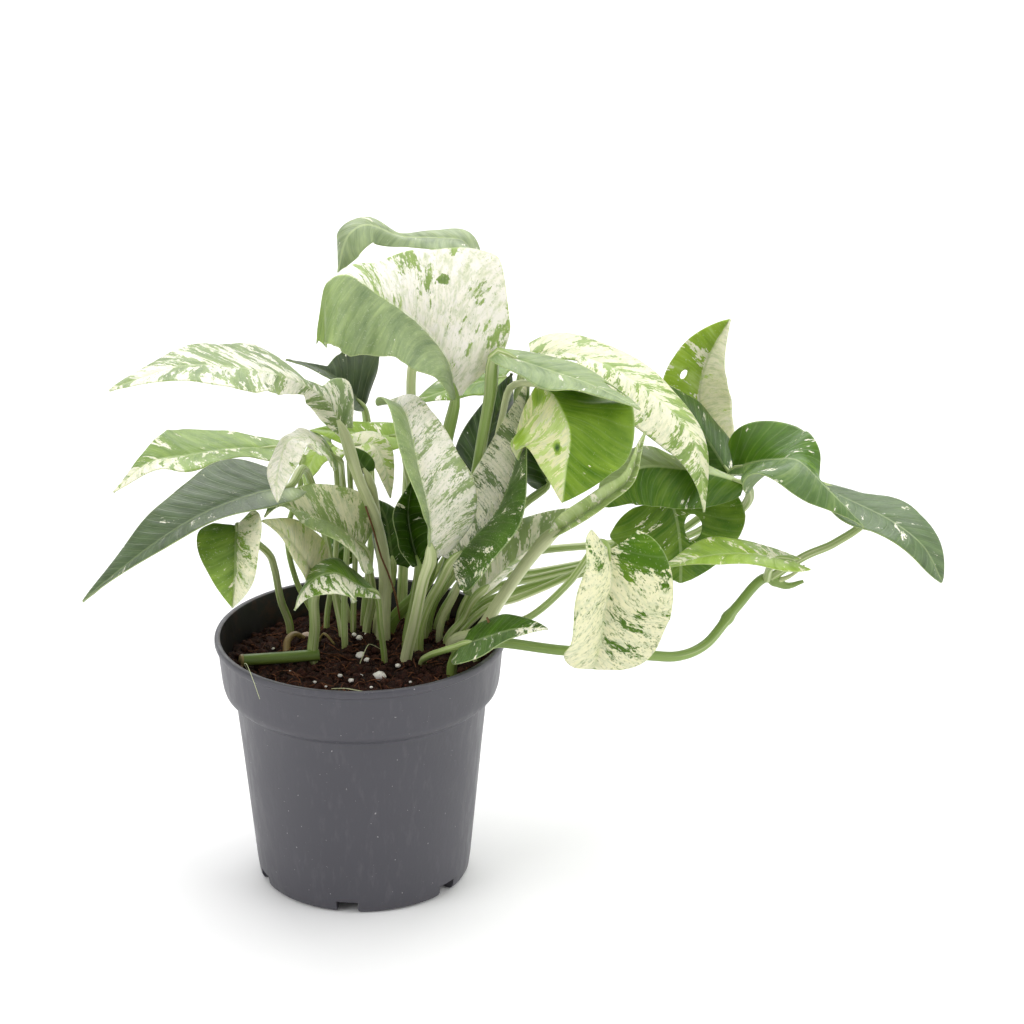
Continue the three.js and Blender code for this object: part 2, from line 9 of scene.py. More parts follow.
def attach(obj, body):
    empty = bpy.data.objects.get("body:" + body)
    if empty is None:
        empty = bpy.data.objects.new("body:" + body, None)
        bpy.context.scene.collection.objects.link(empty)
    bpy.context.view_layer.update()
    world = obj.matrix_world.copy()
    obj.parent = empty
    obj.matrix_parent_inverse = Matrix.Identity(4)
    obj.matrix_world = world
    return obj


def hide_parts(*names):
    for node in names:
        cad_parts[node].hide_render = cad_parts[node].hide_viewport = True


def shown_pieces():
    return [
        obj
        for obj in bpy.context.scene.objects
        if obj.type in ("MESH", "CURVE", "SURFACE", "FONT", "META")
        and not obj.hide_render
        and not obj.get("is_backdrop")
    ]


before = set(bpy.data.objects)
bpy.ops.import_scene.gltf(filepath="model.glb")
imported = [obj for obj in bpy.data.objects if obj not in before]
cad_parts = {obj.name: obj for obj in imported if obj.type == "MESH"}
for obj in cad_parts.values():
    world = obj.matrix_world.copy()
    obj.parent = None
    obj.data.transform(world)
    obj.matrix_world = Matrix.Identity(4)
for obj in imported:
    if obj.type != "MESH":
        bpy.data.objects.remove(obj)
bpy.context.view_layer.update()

# A marbled pothos in its nursery pot. Where nothing else is said, lengths in the dictionaries are
# millimetres and angles are degrees.
mm = 0.001


def say(stage):
    print("scene:", stage)


def addObject(name, data):
    thing = bpy.data.objects.new(name, data)
    bpy.context.scene.collection.objects.link(thing)
    return thing


def newMesh(name, points, edges, faces, unit=mm):
    mesh = bpy.data.meshes.new(name)
    mesh.from_pydata((np.array(points, float) * unit).tolist(), edges, faces)
    return mesh


# camera and light; the softboxes are in metres and watts
shot = dict(place=(44.1, -917.8, 474.6), pitch=21.5, lens=120.76, sensor=36, near=0.05, far=20)
aim = Vector((0.03, 0, 0.1))
softboxes = dict(
    overhead=dict(place=(0.0, 0.15, 1.3), size=(1.2, 1.0), power=9.5),
    behind=dict(place=(0.1, 1.15, 0.85), size=(1.6, 0.9), power=10),
    keySide=dict(place=(-1.0, -0.7, 0.75), size=(0.8, 1.0), power=8.5),
    fillSide=dict(place=(1.1, -0.45, 0.6), size=(0.8, 1.0), power=6.5),
    backSide=dict(place=(1.2, 0.5, 0.7), size=(0.8, 1.0), power=4),
)
skyStrength = 0.45

camera = addObject("studioCamera", bpy.data.cameras.new("studioCamera"))
camera.data.lens, camera.data.sensor_width = shot["lens"], shot["sensor"]
camera.data.clip_start, camera.data.clip_end = shot["near"], shot["far"]
camera.location = Vector(shot["place"]) * mm
camera.rotation_euler = (math.radians(90 - shot["pitch"]), 0, 0)
bpy.context.scene.camera = camera
bpy.context.scene.view_settings.view_transform = "Standard"

for name, box in softboxes.items():
    light = addObject(name, bpy.data.lights.new(name, "AREA"))
    light.data.shape = "RECTANGLE"
    light.data.size, light.data.size_y = box["size"]
    light.data.energy = box["power"]
    light.location = box["place"]
    light.rotation_euler = (aim - Vector(box["place"])).to_track_quat("-Z", "Y").to_euler()

studio = bpy.data.worlds.new("studio")
bpy.context.scene.world = studio
studio.use_nodes = True
sky = studio.node_tree.nodes["Background"]
sky.inputs["Color"].default_value = (1, 1, 1, 1)
sky.inputs["Strength"].default_value = skyStrength
say("camera and light")


# nodes, for materials and for Geometry Nodes
class Wire:
    # a node's output, which is added, multiplied and so on as a number is
    def __init__(self, socket):
        self.socket = socket

    def maths(self, operation, *others):
        return mathsNode(self.socket.id_data, operation, self, *others)

    def __add__(self, other):
        return self.maths("ADD", other)

    def __sub__(self, other):
        return self.maths("SUBTRACT", other)

    def __rsub__(self, other):
        return mathsNode(self.socket.id_data, "SUBTRACT", other, self)

    def __mul__(self, other):
        return self.maths("MULTIPLY", other)

    def __truediv__(self, other):
        return self.maths("DIVIDE", other)

    def __abs__(self):
        return self.maths("ABSOLUTE")


def plug(node, sockets):
    # sets inputs by name or number: an output is linked, and anything else is the input's own value
    for key, value in sockets.items():
        value = getattr(value, "socket", value)
        if isinstance(value, bpy.types.NodeSocket):
            node.id_data.links.new(value, node.inputs[key])
        else:
            node.inputs[key].default_value = value


def grow(tree, kind, sockets=None, **settings):
    # adds a node and returns its outputs
    node = tree.nodes.new(kind)
    for name, value in settings.items():
        setattr(node, name, value)
    plug(node, sockets or {})
    return node.outputs


def treeOf(value):
    return getattr(value, "socket", value).id_data


def geo(tree, kind, sockets=None, **settings):
    # adds a Geometry Nodes node and returns its first output
    return grow(tree, "GeometryNode" + kind, sockets, **settings)[0]


def mathsNode(tree, operation, *values):
    return Wire(grow(tree, "ShaderNodeMath", dict(enumerate(values)), operation=operation)[0])


def fade(value, low, high, start=0.0, end=1.0):
    # a smooth step of value between low and high
    sockets = {"Value": value, "From Min": low, "From Max": high, "To Min": start, "To Max": end}
    return Wire(grow(treeOf(value), "ShaderNodeMapRange", sockets, interpolation_type="SMOOTHSTEP")["Result"])


def combine(tree, x, y, z):
    return Wire(grow(tree, "ShaderNodeCombineXYZ", {0: x, 1: y, 2: z})[0])


def apart(vector):
    return [Wire(part) for part in grow(treeOf(vector), "ShaderNodeSeparateXYZ", {0: vector})]


def noise(vector, scale, detail, roughness=0.5):
    return Wire(grow(treeOf(vector), "ShaderNodeTexNoise", {
        "Vector": vector, "Scale": scale, "Detail": detail, "Roughness": roughness})["Fac"])


def centred(value, amount):
    return (value - 0.5) * amount


def paint(code):
    # a hex colour as the linear one that a shader takes
    parts = [int(code[i:i + 2], 16) / 255 for i in (1, 3, 5)]
    return [p / 12.92 if p <= 0.04045 else ((p + 0.055) / 1.055) ** 2.4 for p in parts] + [1]


def blend(share, first, second):
    # mixes two colours, each a hex code or a node's output
    first, second = (paint(colour) if isinstance(colour, str) else colour for colour in (first, second))
    return Wire(grow(treeOf(share), "ShaderNodeMix", {0: share, 6: first, 7: second}, data_type="RGBA")[2])


def ramp(share, start, end, **between):
    # runs from the start colour to the end colour through colours at places of their own
    tree = treeOf(share)
    node = tree.nodes.new("ShaderNodeValToRGB")
    plug(node, {"Fac": share})
    stops = node.color_ramp.elements
    stops[0].color, stops[1].color = paint(start), paint(end)
    for code, place in between.values():
        stops.new(place).color = paint(code)
    return Wire(node.outputs["Color"])


def newMaterial(name):
    material = bpy.data.materials.new(name)
    material.use_nodes = True
    tree = material.node_tree
    tree.nodes.clear()
    shader = tree.nodes.new("ShaderNodeBsdfPrincipled")
    grow(tree, "ShaderNodeOutputMaterial", {"Surface": shader.outputs["BSDF"]})
    return material, tree, shader


def giveRelief(shader, height, strength, distance):
    plug(shader, {"Normal": grow(shader.id_data, "ShaderNodeBump", {
        "Height": height, "Strength": strength, "Distance": distance})["Normal"]})


# Leaf and stalk materials. Each growth carries three point attributes. "veins" is the place on the surface
# in mm: across the side veins, out from the midrib, and a number of its own for each leaf; on a stalk it is
# the way along it in mm and the share of the way round it. "looks" is cream share, lightness of the green,
# fine flecks (on a stalk, how brown it is), and 1 on the underside. "tint" is how yellow the cream is and
# how much painted sheen lies on the leaf: light glancing off it, painted as a duller, paler green.
leafPaint = dict(
    deep="#132a04", green="#476d0c", light="#93b03c", young="#bdcf82", cream="#f0ebe3", warm="#d9d8a2",
    veil="#b9c3a0", rib="#b9c792", underside="#a9bb8c")
veinSpacing = 2.7
stalkPaint = dict(
    deep="#4d6621", green="#849e4c", pale="#b4c47c", cream="#d0d5a6", stripe="#5f7a35", dry="#7a5236")


def attribute(tree, name):
    return grow(tree, "ShaderNodeAttribute", attribute_name=name)


def marbledLeaf():
    material, tree, shader = newMaterial("marbledLeaf")
    looks = attribute(tree, "looks")
    cream, tone, fleck = apart(looks["Color"])
    under = Wire(looks["Alpha"])
    cross, out, seed = apart(attribute(tree, "veins")["Vector"])
    warm, sheenShare, _ = apart(attribute(tree, "tint")["Vector"])
    outline = apart(grow(tree, "ShaderNodeUVMap", uv_map="bladeMap")["UV"])

    def streaks(acrossVeins, alongVeins, shift, detail, roughness=0.55):
        place = combine(tree, cross * acrossVeins, out * alongVeins, seed + shift)
        return noise(place, 1.0, detail, roughness)

    patch = streaks(0.36, 0.12, 11, 3, 0.6)
    field = cream + centred(streaks(0.1, 0.06, 0, 1), 0.8) + centred(patch, fleck * -1.2 + 2.5)
    creamHere = fade(field + centred(streaks(1.9, 0.7, 23, 3, 0.7), 1.0), 0.45, 0.55)
    speck = fade(streaks(1.5, 0.9, 41, 4, 0.75) + centred(patch, -0.3), 0.52, 0.64)
    dust = fade(streaks(2.6, 2.0, 57, 1), 0.66, 0.71)
    creamHere = (creamHere * (1 - speck * (fleck * 0.85))).maths("MAXIMUM", dust * (fleck * 0.35))

    lightness = tone + centred(streaks(0.3, 0.1, 71, 3), 0.5) + centred(streaks(1.6, 0.06, 75, 3), 0.2)
    green = ramp(lightness, leafPaint["deep"], leafPaint["young"], green=(leafPaint["green"], 0.42),
                 light=(leafPaint["light"], 0.8))
    # painted sheen: light glancing off the leaf is painted in, greying and lightening the green
    sheenGreyed = grow(tree, "ShaderNodeHueSaturation", {
        "Saturation": sheenShare * -0.8 + 1, "Value": sheenShare * 0.1 + 1, "Color": green})[0]
    veil = fade(streaks(0.8, 0.25, 83, 4, 0.65), 0.42, 0.7, 0.0, 0.7)
    pale = blend(veil, blend(warm, leafPaint["cream"], leafPaint["warm"]), leafPaint["veil"])
    skin = blend(creamHere, sheenGreyed, pale)

    # fine side veins, the midrib, the thin pale margin and the underside
    vein = fade(abs((cross / veinSpacing).maths("FRACT") - 0.5), 0.12, 0.0)
    rib = fade(abs(out), 0.6, 0.25) * fade(tone, 0.0, 0.6, 0.05, 0.42)
    margin = fade(abs(outline[0] * 2 - 1), 0.975, 0.998)
    for share in (vein * 0.07, rib, margin * 0.4):
        skin = blend(share, skin, leafPaint["rib"])
    skin = blend(under * 0.3, skin, leafPaint["underside"])
    plug(shader, {
        "Base Color": skin, "Roughness": fade(streaks(1.2, 1.2, 97, 3), 0.3, 0.7, 0.3, 0.42) + under * 0.16,
        "Specular IOR Level": 0.24, "Subsurface Weight": 0.25, "Subsurface Radius": (1.0, 1.0, 0.3),
        "Subsurface Scale": 0.0012})
    giveRelief(shader, vein * -0.25 + streaks(0.5, 0.25, 5, 3), 0.3, 0.0006)
    return material


def stalkSkin():
    material, tree, shader = newMaterial("stalkSkin")
    alongIt, roundIt, seed = apart(attribute(tree, "veins")["Vector"])
    cream, tone, brown = apart(attribute(tree, "looks")["Color"])
    turn = roundIt * (2 * math.pi)

    def stripes(alongScale, roundScale, shift, detail):
        place = combine(tree, turn.maths("COSINE") * roundScale, turn.maths("SINE") * roundScale,
                        alongIt * alongScale + (seed + shift))
        return noise(place, 1.0, detail)

    green = ramp(tone + centred(stripes(0.02, 1.2, 3, 3), 0.5), stalkPaint["deep"], stalkPaint["pale"],
                 middle=(stalkPaint["green"], 0.5))
    creamHere = fade(cream + centred(stripes(0.02, 1.4, 19, 3), 1.2), 0.35, 0.75)
    skin = blend(creamHere, green, stalkPaint["cream"])
    skin = blend(fade(stripes(0.12, 7.0, 31, 2), 0.4, 0.62) * 0.14, skin, stalkPaint["stripe"])
    skin = blend(brown, skin, stalkPaint["dry"])
    plug(shader, {"Base Color": skin, "Roughness": 0.42})
    giveRelief(shader, stripes(0.08, 5.0, 47, 3), 0.3, 0.0004)
    return material


leafMaterial = marbledLeaf()
stalkMaterial = stalkSkin()
say("leaf materials")


# Leaves. midrib runs from the stalk to the tip, and stalk from the blade's base to the soil, with radius,
# and foot where it stands on a thick one. width is the half width at its widest. left and right turn each
# half out of the front plane, + towards the front. lobe is how far the base reaches back, base and tip the
# fullness of the ends. ratio is a share of the width and slant a lean towards the tip. cream, tone, warm
# and the painted sheen give the marbling, the lightness of the green, the yellow of the cream and a sheen
# of light glancing off the leaf, painted as a duller, paler green. Each of these six is one number, or one
# for each half, and a list in place of a number runs from base to tip.
# fleck is how speckled the leaf is, stem the cream and the lightness of the stalk. spots and shades add
# cream or lightness round a place: across -1 to 1, along 0 to 1, its two reaches, and how much. holes are
# places eaten or torn through.
leaves = {}
leaves["a1"] = dict(
    midrib=[(-19, -8, 124), (-28, -16, 125), (-43, -28, 123), (-56, -36, 117), (-75, -42, 103)],
    width=17, left=[58, 72, 76], right=[-57, -52, -60], lobe=0.03,
    ratio=[[0.5, 0.7, 0.9, 0.8, 0.7], [1.25, 1.25, 1.08, 0.98, 1, 1.05, 1.1]],
    stalk=[(-16, 1, 126), (-14, 9, 119), (-10, 13, 98), (-8, 14, 82), (-6, 14, 69)],
    # the lighter patch at the base of the lower lobe is painted light, where the fold turns that part towards
    # the lamps
    cream=0.05, tone=0.3, fleck=0.12, sheen=0.55, shades=[(-0.6, 0.06, 0.5, 0.12, 0.5)])
leaves["a2"] = dict(
    midrib=[(-25, 26, 123), (-37, 20, 125), (-49, 12, 126), (-60, 6, 126), (-70, -2, 120)],
    width=15, left=[72, 76, 70, 64], right=[-66, -62, -52, -40],
    ratio=[[1, 0.95, 1.1, 1.6, 1.6], [0.5, 0.55, 0.85, 1.3, 1.28, 1, 0.62, 0.4, 0.3]],
    stalk=[(-19, 29, 121), (-18, 26, 113), (-22, 20, 99), (-20, 25, 81), (-15, 27, 68)], radius=0.9,
    cream=[[0.2, 0.4, 0.62], [0.1, 0.15, 0.45]], tone=[0.62, 0.6], fleck=0.3, warm=0.3, sheen=0.2)
leaves["a3"] = dict(
    midrib=[(-4, -2, 139), (-7, -5, 147), (-11, -9, 153), (-17, -13, 158), (-28, -22, 164), (-46, -34, 169),
      (-65, -42, 165)],
    width=19, left=[-30, -40, 20, 60, 68, 68, 66], right=[-50, -70, -72, -70, -68, -64, -60], lobe=0.04,
    base=0.5,
    ratio=[[0.2, 0.4, 0.35, 0.15, 0.25, 0.4, 0.66, 0.95, 1.2, 1.5, 1.4, 1.1, 1], [0.5, 1, 0.3, 0.2, 1.2,
      1.15, 1.05, 1, 1, 1, 1, 1, 1]],
    stalk=[(0, 0, 124), (5, 6, 107), (7, 11, 90), (6, 13, 70)], radius=1.6, foot=2.6,
    cream=0.52, tone=[0.62, 0.6], fleck=0.5, warm=[0.15, 0.2], sheen=0.38, stem=[0.8, 0.75])
leaves["a4"] = dict(
    midrib=[(0, 42, 130), (-5, 38, 138), (-10, 33, 144), (-15, 25, 149), (-21, 19, 153)],
    width=15, left=[62, 70, 78], right=[-25, -25, -30, -40, -50, -60], lobe=0, base=0.8,
    ratio=[0.6, [0.8, 1.25, 1.35, 1.2, 0.5, 0.12, 0.1, 0.1, 0.1, 0.1, 0.1]],
    stalk=[(1, 44, 123), (2, 40, 110), (2, 31, 90), (0, 24, 70)],
    tone=[0.25, 0.2], sheen=0.6)
leaves["a5"] = dict(
    midrib=[(-6, -6, 132), (-9, -12, 138), (-13, -17, 142), (-18, -22, 143), (-20, -26, 139),
      (-21, -29, 134), (-21, -31, 128)],
    width=10, left=[72, 68, 55, 40, 40], right=[-80, -80, -60, -40, -50], lobe=0, base=0.7,
    ratio=[1, [0.65, 0.65, 0.65, 0.3, 0.45, 0.85, 0.9]],
    stalk=[(-5, 1, 128), (-5, 13, 117), (-4, 13, 102), (-5, 9, 82), (-5, 7, 68)], radius=0.9,
    cream=[[0.1, 0.6, 0.95, 1], [0.1, 0.6, 0.95, 1]], tone=0.6, fleck=0.5, sheen=0.2)
leaves["a6"] = dict(
    midrib=[(-33, -23, 118), (-33, -28, 115), (-33, -33, 108), (-34, -35, 98)],
    width=11, left=[50, 45, 35], right=[0, 15, 40], lobe=0.04,
    stalk=[(-32, -16, 113), (-26, -4, 102), (-25, 6, 93), (-24, 15, 79), (-22, 20, 69)],
    cream=[0.6, 0.2], tone=[0.65, 0.6], fleck=0.8, warm=[0.5, 0.3])
leaves["a7"] = dict(
    midrib=[(-12, -9, 96), (-16, -13, 105), (-21, -18, 114), (-26, -21, 119)],
    width=10, left=76, right=[-42, -50, -62], lobe=0.03,
    stalk=[(-13, -7, 88), (-13, -5, 79), (-14, -3, 70)], radius=1.6,
    cream=[0.7, 0.72], tone=0.9, fleck=0.3, warm=[0.7, 0.6])
leaves["a8"] = dict(
    midrib=[(5, -10, 92), (-1, -14, 97), (-6, -19, 102), (-11, -25, 103), (-15, -29, 100), (-17, -32, 96)],
    width=10, left=[70, 60, 38, 45], right=[-74, -64, -75, -80], lobe=0.02,
    ratio=[[0.4, 0.55, 1.4, 1.6, 1.1], 0.75],
    stalk=[(6, -6, 80), (7, -3, 67)], radius=0.9,
    cream=[0.62, 0.1], fleck=0.4, warm=0.3)
leaves["a9"] = dict(
    midrib=[(1, 2, 101), (-4, -2, 108), (-15, -8, 116), (-22, -12, 120), (-26, -16, 118)],
    width=14, left=[74, 72, 72], right=[-40, -44, -55, -60], lobe=0.05, ratio=[1, [1, 1.05, 1.08, 0.95, 0.6]],
    stalk=[(3, 8, 88), (3, 12, 81), (1, 16, 69)], radius=1.2,
    cream=0.5, tone=0.7, fleck=0.6, warm=0.5, sheen=0.35, stem=[0.6, 0.65])
leaves["a10"] = dict(
    midrib=[(11, 25, 127), (4, 26, 127), (-5, 26, 128), (-15, 25, 129)],
    width=9, left=[58, 55, 58], right=[-52, -50, -55], ratio=[1, 0.7],
    stalk=[(13, 26, 117), (16, 24, 87), (13, 22, 70)], radius=1,
    cream=[0.06, 0.05], tone=[0.75, 0.65], fleck=0.2, sheen=0.05)
leaves["a11"] = dict(
    midrib=[(-2, 15, 128), (4, 15, 128), (7, 13, 123), (9, 11, 113)],
    width=5, left=[-40, -40, -50], right=[40, 46, 50],
    stalk=[(-3, 17, 118), (-2, 19, 96), (-3, 20, 71)], radius=0.9,
    cream=0.62, tone=0.85, fleck=0.3, warm=0.5)
leaves["a12"] = dict(
    midrib=[(2, 8, 122), (0, 7, 126), (-3, 6, 131)],
    width=4, left=-60, right=-20,
    stalk=[(4, 13, 112), (5, 16, 98), (6, 18, 82), (4, 18, 69)], radius=1.3,
    tone=[0.2, 0.25], stem=[0.8, 0.8])
leaves["a13"] = dict(
    midrib=[(9, 21, 88), (8, 22, 95), (7, 22, 102), (4, 21, 109)],
    width=8, left=-50, right=[-30, -40, -50],
    stalk=[(8, 25, 79), (3, 28, 70)], radius=1,
    tone=[0.15, 0.2])
leaves["a14"] = dict(
    midrib=[(-10, 26, 87), (-7, 25, 91), (-3, 24, 95)],
    width=8, left=[-40, -40, -50], right=[-50, -50, -60],
    stalk=[(-8, 27, 80), (-5, 28, 69)], radius=0.9,
    cream=[0.05, 0.1], tone=0.4, fleck=0.1)
leaves["a15"] = dict(
    midrib=[(-8, 20, 126), (-12, 18, 125), (-15, 16, 120), (-16, 14, 115)],
    width=8, left=[50, 60, 60], right=-60,
    stalk=[(-7, 18, 116), (-8, 18, 91), (-11, 20, 71)], radius=0.9,
    cream=0.2, tone=0.8, fleck=0.2)
leaves["b1"] = dict(
    midrib=[(28, 0, 148), (26, 2, 158), (18, 2, 169), (7, -2, 179), (-2, -8, 187), (-7, -12, 186),
      (-9, -15, 178), (-10, -16, 170)],
    width=26, left=[80, 74, 60, 50, 35, 20, 6, 4], right=[-45, -10, 0, -15, -55, -105, -130, -130], lobe=0,
    base=0.45, tip=0.5,
    ratio=[[0.7, 0.8, 0.85, 0.83, 0.8, 0.75, 0.76, 0.92, 1.05, 0.8, 0.45, 0.3], [0.3, 1, 1.2, 0.72, 0.36,
      0.18, 0.2, 0.3]], slant=[[0, 0, 0, 0, 0, -5, -12, -10, 32, 74, 86, 88], 0],
    stalk=[(26, 2, 137), (23, 6, 114), (19, 14, 86), (8, 18, 70)], radius=1.6, foot=2.2,
    cream=[0.02, 0.68], tone=[[0.58, 0.56, 0.58, 0.72], 0.72], fleck=0.5, warm=[0.1, 0],
    sheen=[[0.5, 0.5, 0.45, 0.15], 0.3], stem=[0.35, 0.45], spots=[(0.55, 0.35, 0.057, 0.0114, -1.4)],
    shades=[(0.55, 0.35, 0.08, 0.016, -0.3)])
leaves["b2"] = dict(
    midrib=[(34, 48, 172), (30, 46, 180), (22, 43, 182), (12, 38, 184), (2, 33, 189), (-3, 28, 187),
      (-6, 25, 177)],
    width=14, left=[70, 70, 60, 40, 20, 0], right=[-65, -62, -60, -60, -60, -62, -70], lobe=0.05,
    ratio=[[1, 1, 0.8, 0.4, 0.7, 1.35, 1.2], [0.5, 0.5, 0.35, 0.15, 0.5, 1.35, 1.1]],
    slant=[[0, 0, 0, 0, 0, 30, 50], 0],
    stalk=[(23, 48, 160), (15, 44, 144), (14, 42, 130), (13, 38, 110), (12, 32, 90), (11, 28, 70)],
    radius=1.5,
    cream=0.04, tone=[0.58, 0.6], fleck=0.05, sheen=[0.55, 0.6], stem=[0.5, 0.75])
leaves["b3"] = dict(
    midrib=[(42, 34, 142), (32, 34, 140), (23, 32, 138), (15, 28, 136)],
    width=13, left=[74, 70, 66], right=[-68, -66, -70],
    stalk=[(38, 36, 125), (27, 34, 91), (15, 28, 70)], radius=1,
    cream=[[0, 0, 0.4], [0, 0, 0.45]], tone=0.55, fleck=0.2, sheen=[0, 0.1])
leaves["b4"] = dict(
    midrib=[(21, -16, 105), (21, -20, 119), (18, -20, 134), (14, -14, 149), (8, 0, 147)],
    width=16, left=[80, 76, 72, 62], right=[-40, -26, -34, -50], lobe=0.02, base=0.5,
    ratio=[[0.05, 0.05, 0.45, 0.8, 1, 1, 1], [1, 1, 1, 0.9, 0.88, 0.9, 1]],
    stalk=[(19, -14, 98), (16, -8, 82), (13, -4, 67)], radius=1.6,
    cream=[0.03, 0.6], tone=[0.6, 0.68], fleck=1, warm=[0.2, 0.15], sheen=0.45, stem=[0.6, 0.65])
leaves["b5"] = dict(
    midrib=[(17, 4, 95), (15, 6, 102), (14, 6, 111), (16, 4, 123)],
    width=11, left=[58, 60, 60], right=30, lobe=0, ratio=[[0.5, 0.7, 1, 1], 1],
    stalk=[(16, 6, 86), (13, 8, 70)], radius=1.2,
    tone=0.15, sheen=0)
leaves["b6"] = dict(
    midrib=[(27, -3, 99), (34, -5, 108), (40, -4, 115), (44, -1, 124), (47, 6, 136), (49, 14, 149)],
    width=17, left=10, right=[48, 64, 76, 78], lobe=0.02,
    ratio=[[0.5, 0.7, 0.75, 0.75, 0.7], [1, 1, 0.85, 0.8]],
    stalk=[(24, 0, 92), (20, 4, 83), (17, 5, 73)], radius=1.5,
    cream=[0.64, [0.36, 0.26, 0.36]], tone=[0.5, 0.3], fleck=1, warm=0.3, sheen=[0.45, 0.1], stem=[0.5, 0.6])
leaves["b7"] = dict(
    midrib=[(32, 16, 101), (34, 16, 112), (37, 16, 129), (44, 12, 151)],
    width=14, left=[-50, -50, -60], right=[-50, -55, -60],
    stalk=[(27, 19, 88), (19, 24, 72)], radius=1.2,
    tone=0.1)
leaves["c1"] = dict(
    midrib=[(40, 1, 161), (53, -1, 157), (66, -6, 154), (80, -18, 151)],
    width=16, left=[-68, -68, -74], right=[72, 68, 74], lobe=0.02,
    ratio=[[0.3, 0.75, 0.8, 0.8, 0.8], [0.9, 0.95, 1.05, 1.1, 1]],
    stalk=[(38, 2, 148), (36, 2, 136), (33, 6, 118), (25, 12, 90), (19, 16, 72)], radius=1.8,
    holes=[(-0.72, 0.72, 0.2, 0.1)],
    cream=[0.05, 0.06], tone=[0.6, 0.58], fleck=0.1, sheen=0.4, stem=[0.45, 0.5])
leaves["c2"] = dict(
    midrib=[(51, 2, 151), (55, -5, 151), (58, -12, 148), (60, -17, 143), (59, -22, 135), (58, -26, 126)],
    width=21, left=[-60, -35, -10, 0, -20], right=[-10, -20, -35, -50], lobe=0, base=0.5,
    ratio=[[0.6, 0.9, 1, 1.15, 1.3], [1.6, 0.8, 0.9, 0.8, 0.8]],
    stalk=[(44, 9, 148), (41, 10, 137), (36, 12, 112), (28, 12, 84), (23, 12, 72)], radius=1,
    cream=[0, 0.54], tone=[0.54, 0.95], fleck=0.25, warm=[0.6, 0.9], sheen=0, stem=[0.8, 0.8],
    # the third spot and shade paint a very dark mark where the leaf has a slot: painted shade for the dark
    # seen through it
    spots=[(0.14, 0.08, 0.08, 0.07, -1.2), (0.85, 0.32, 0.1, 0.08, -1.2), (0.25, 0.64, 0.06, 0.026, -3)],
    shades=[(0.14, 0.08, 0.14, 0.12, -0.35), (0.85, 0.32, 0.16, 0.14, -0.3), (0.25, 0.64, 0.07, 0.03, -0.9)])
leaves["c3"] = dict(
    midrib=[(55, -6, 108), (63, -12, 116), (71, -14, 123), (77, -13, 128), (80, -9, 136), (82, -6, 140)],
    width=6, left=50, right=[60, 60, 55, 40, 30], lobe=0, base=0.6,
    ratio=[[0.6, 1, 1, 0.8, 0.8], 0.5],
    stalk=[(48, -3, 98), (41, 0, 86), (34, 3, 74), (27, 5, 70)], radius=1.9,
    cream=[0.3, 0.25], tone=[0.85, 0.8], fleck=0.1, warm=0.3, sheen=0.35, stem=[0.85, 0.9])
leaves["c4"] = dict(
    midrib=[(111, 5, 120), (102, 2, 124), (92, -1, 127), (81, -3, 128), (73, -5, 124), (69, -6, 117)],
    width=15, left=[-5, 0, 0, 0], right=[-85, -74, -58, -50], lobe=0, base=0.55, tip=0.8,
    ratio=[[0.7, 0.75, 0.8, 1, 1.5], 0.85],
    stalk=[(113, 13, 112), (107, 20, 102), (94, 22, 93), (66, 18, 87), (44, 14, 82), (36, 13, 79),
      (27, 12, 69)], radius=1.2,
    cream=[0, 0.02], tone=[0.44, 0.8], fleck=0.05, sheen=[0.05, 0.45])
leaves["c5"] = dict(
    midrib=[(49, 32, 149), (58, 28, 152), (71, 20, 151), (85, 10, 145), (96, 0, 135), (99, -8, 116)],
    width=14.5, left=[-62, -66, -68], right=[72, 66, 35, 30, 60], lobe=0.04,
    ratio=[[1, 1, 1, 1.2, 1.4], [0.75, 0.75, 1.15, 1.4, 0.7]],
    stalk=[(46, 33, 138), (42, 34, 114), (34, 32, 90), (20, 30, 70)], radius=1.2,
    holes=[(0.72, 0.23, 0.14, 0.03)],
    cream=[0.54, 0.56], tone=[0.68, 0.66], fleck=0.4, warm=[0.6, 0.5], sheen=0.2)
leaves["c6"] = dict(
    midrib=[(109, 30, 112), (103, 30, 122), (96, 28, 133), (88, 26, 143)],
    width=12, left=[-20, -30, -30], right=-60, ratio=[0.5, 1],
    stalk=[(103, 34, 96), (84, 34, 88), (52, 28, 83), (36, 25, 82), (30, 20, 76), (28, 19, 69)],
    tone=[0.3, 0.25])
leaves["d1"] = dict(
    midrib=[(106, 50, 111), (100, 48, 130), (102, 46, 143), (108, 40, 158)],
    width=12.5, left=[30, 20, 10], right=[35, 30, 60], lobe=0.05, tip=0.75,
    ratio=[1.08, [0.6, 0.75, 0.95, 0.95, 0.95]],
    stalk=[(101, 50, 99), (83, 44, 88), (52, 37, 86), (34, 31, 84), (26, 25, 76), (24, 24, 69)], radius=1.2,
    holes=[(-0.52, 0.56, 0.09, 0.03)],
    # the right half's cream and tone at full are partly its own pale cream and partly painted light, the glow
    # of light shining through it from behind
    cream=[[0.3, 0.45, 0.25], 1], tone=[0.8, 1], fleck=0.4, warm=[0.1, 0.25], sheen=0)
leaves["d2"] = dict(
    midrib=[(109, 22, 118), (115, 17, 122), (120, 11, 125), (126, 2, 128), (134, -8, 123), (144, -14, 114)],
    width=15, left=[-20, -58, -88, -90], right=[70, 66, 50, 40, 60], lobe=0.02, base=0.4,
    ratio=[[1, 1, 0.68, 0.45, 0.5], [0.3, 0.5, 1, 1.5, 1.3, 1, 0.9]],
    stalk=[(105, 27, 106), (86, 28, 91), (54, 22, 84), (38, 18, 81), (30, 15, 70)], radius=1.2,
    cream=[0, 0.02], tone=[0.38, 0.42], fleck=0.05, sheen=[0, 0.3])
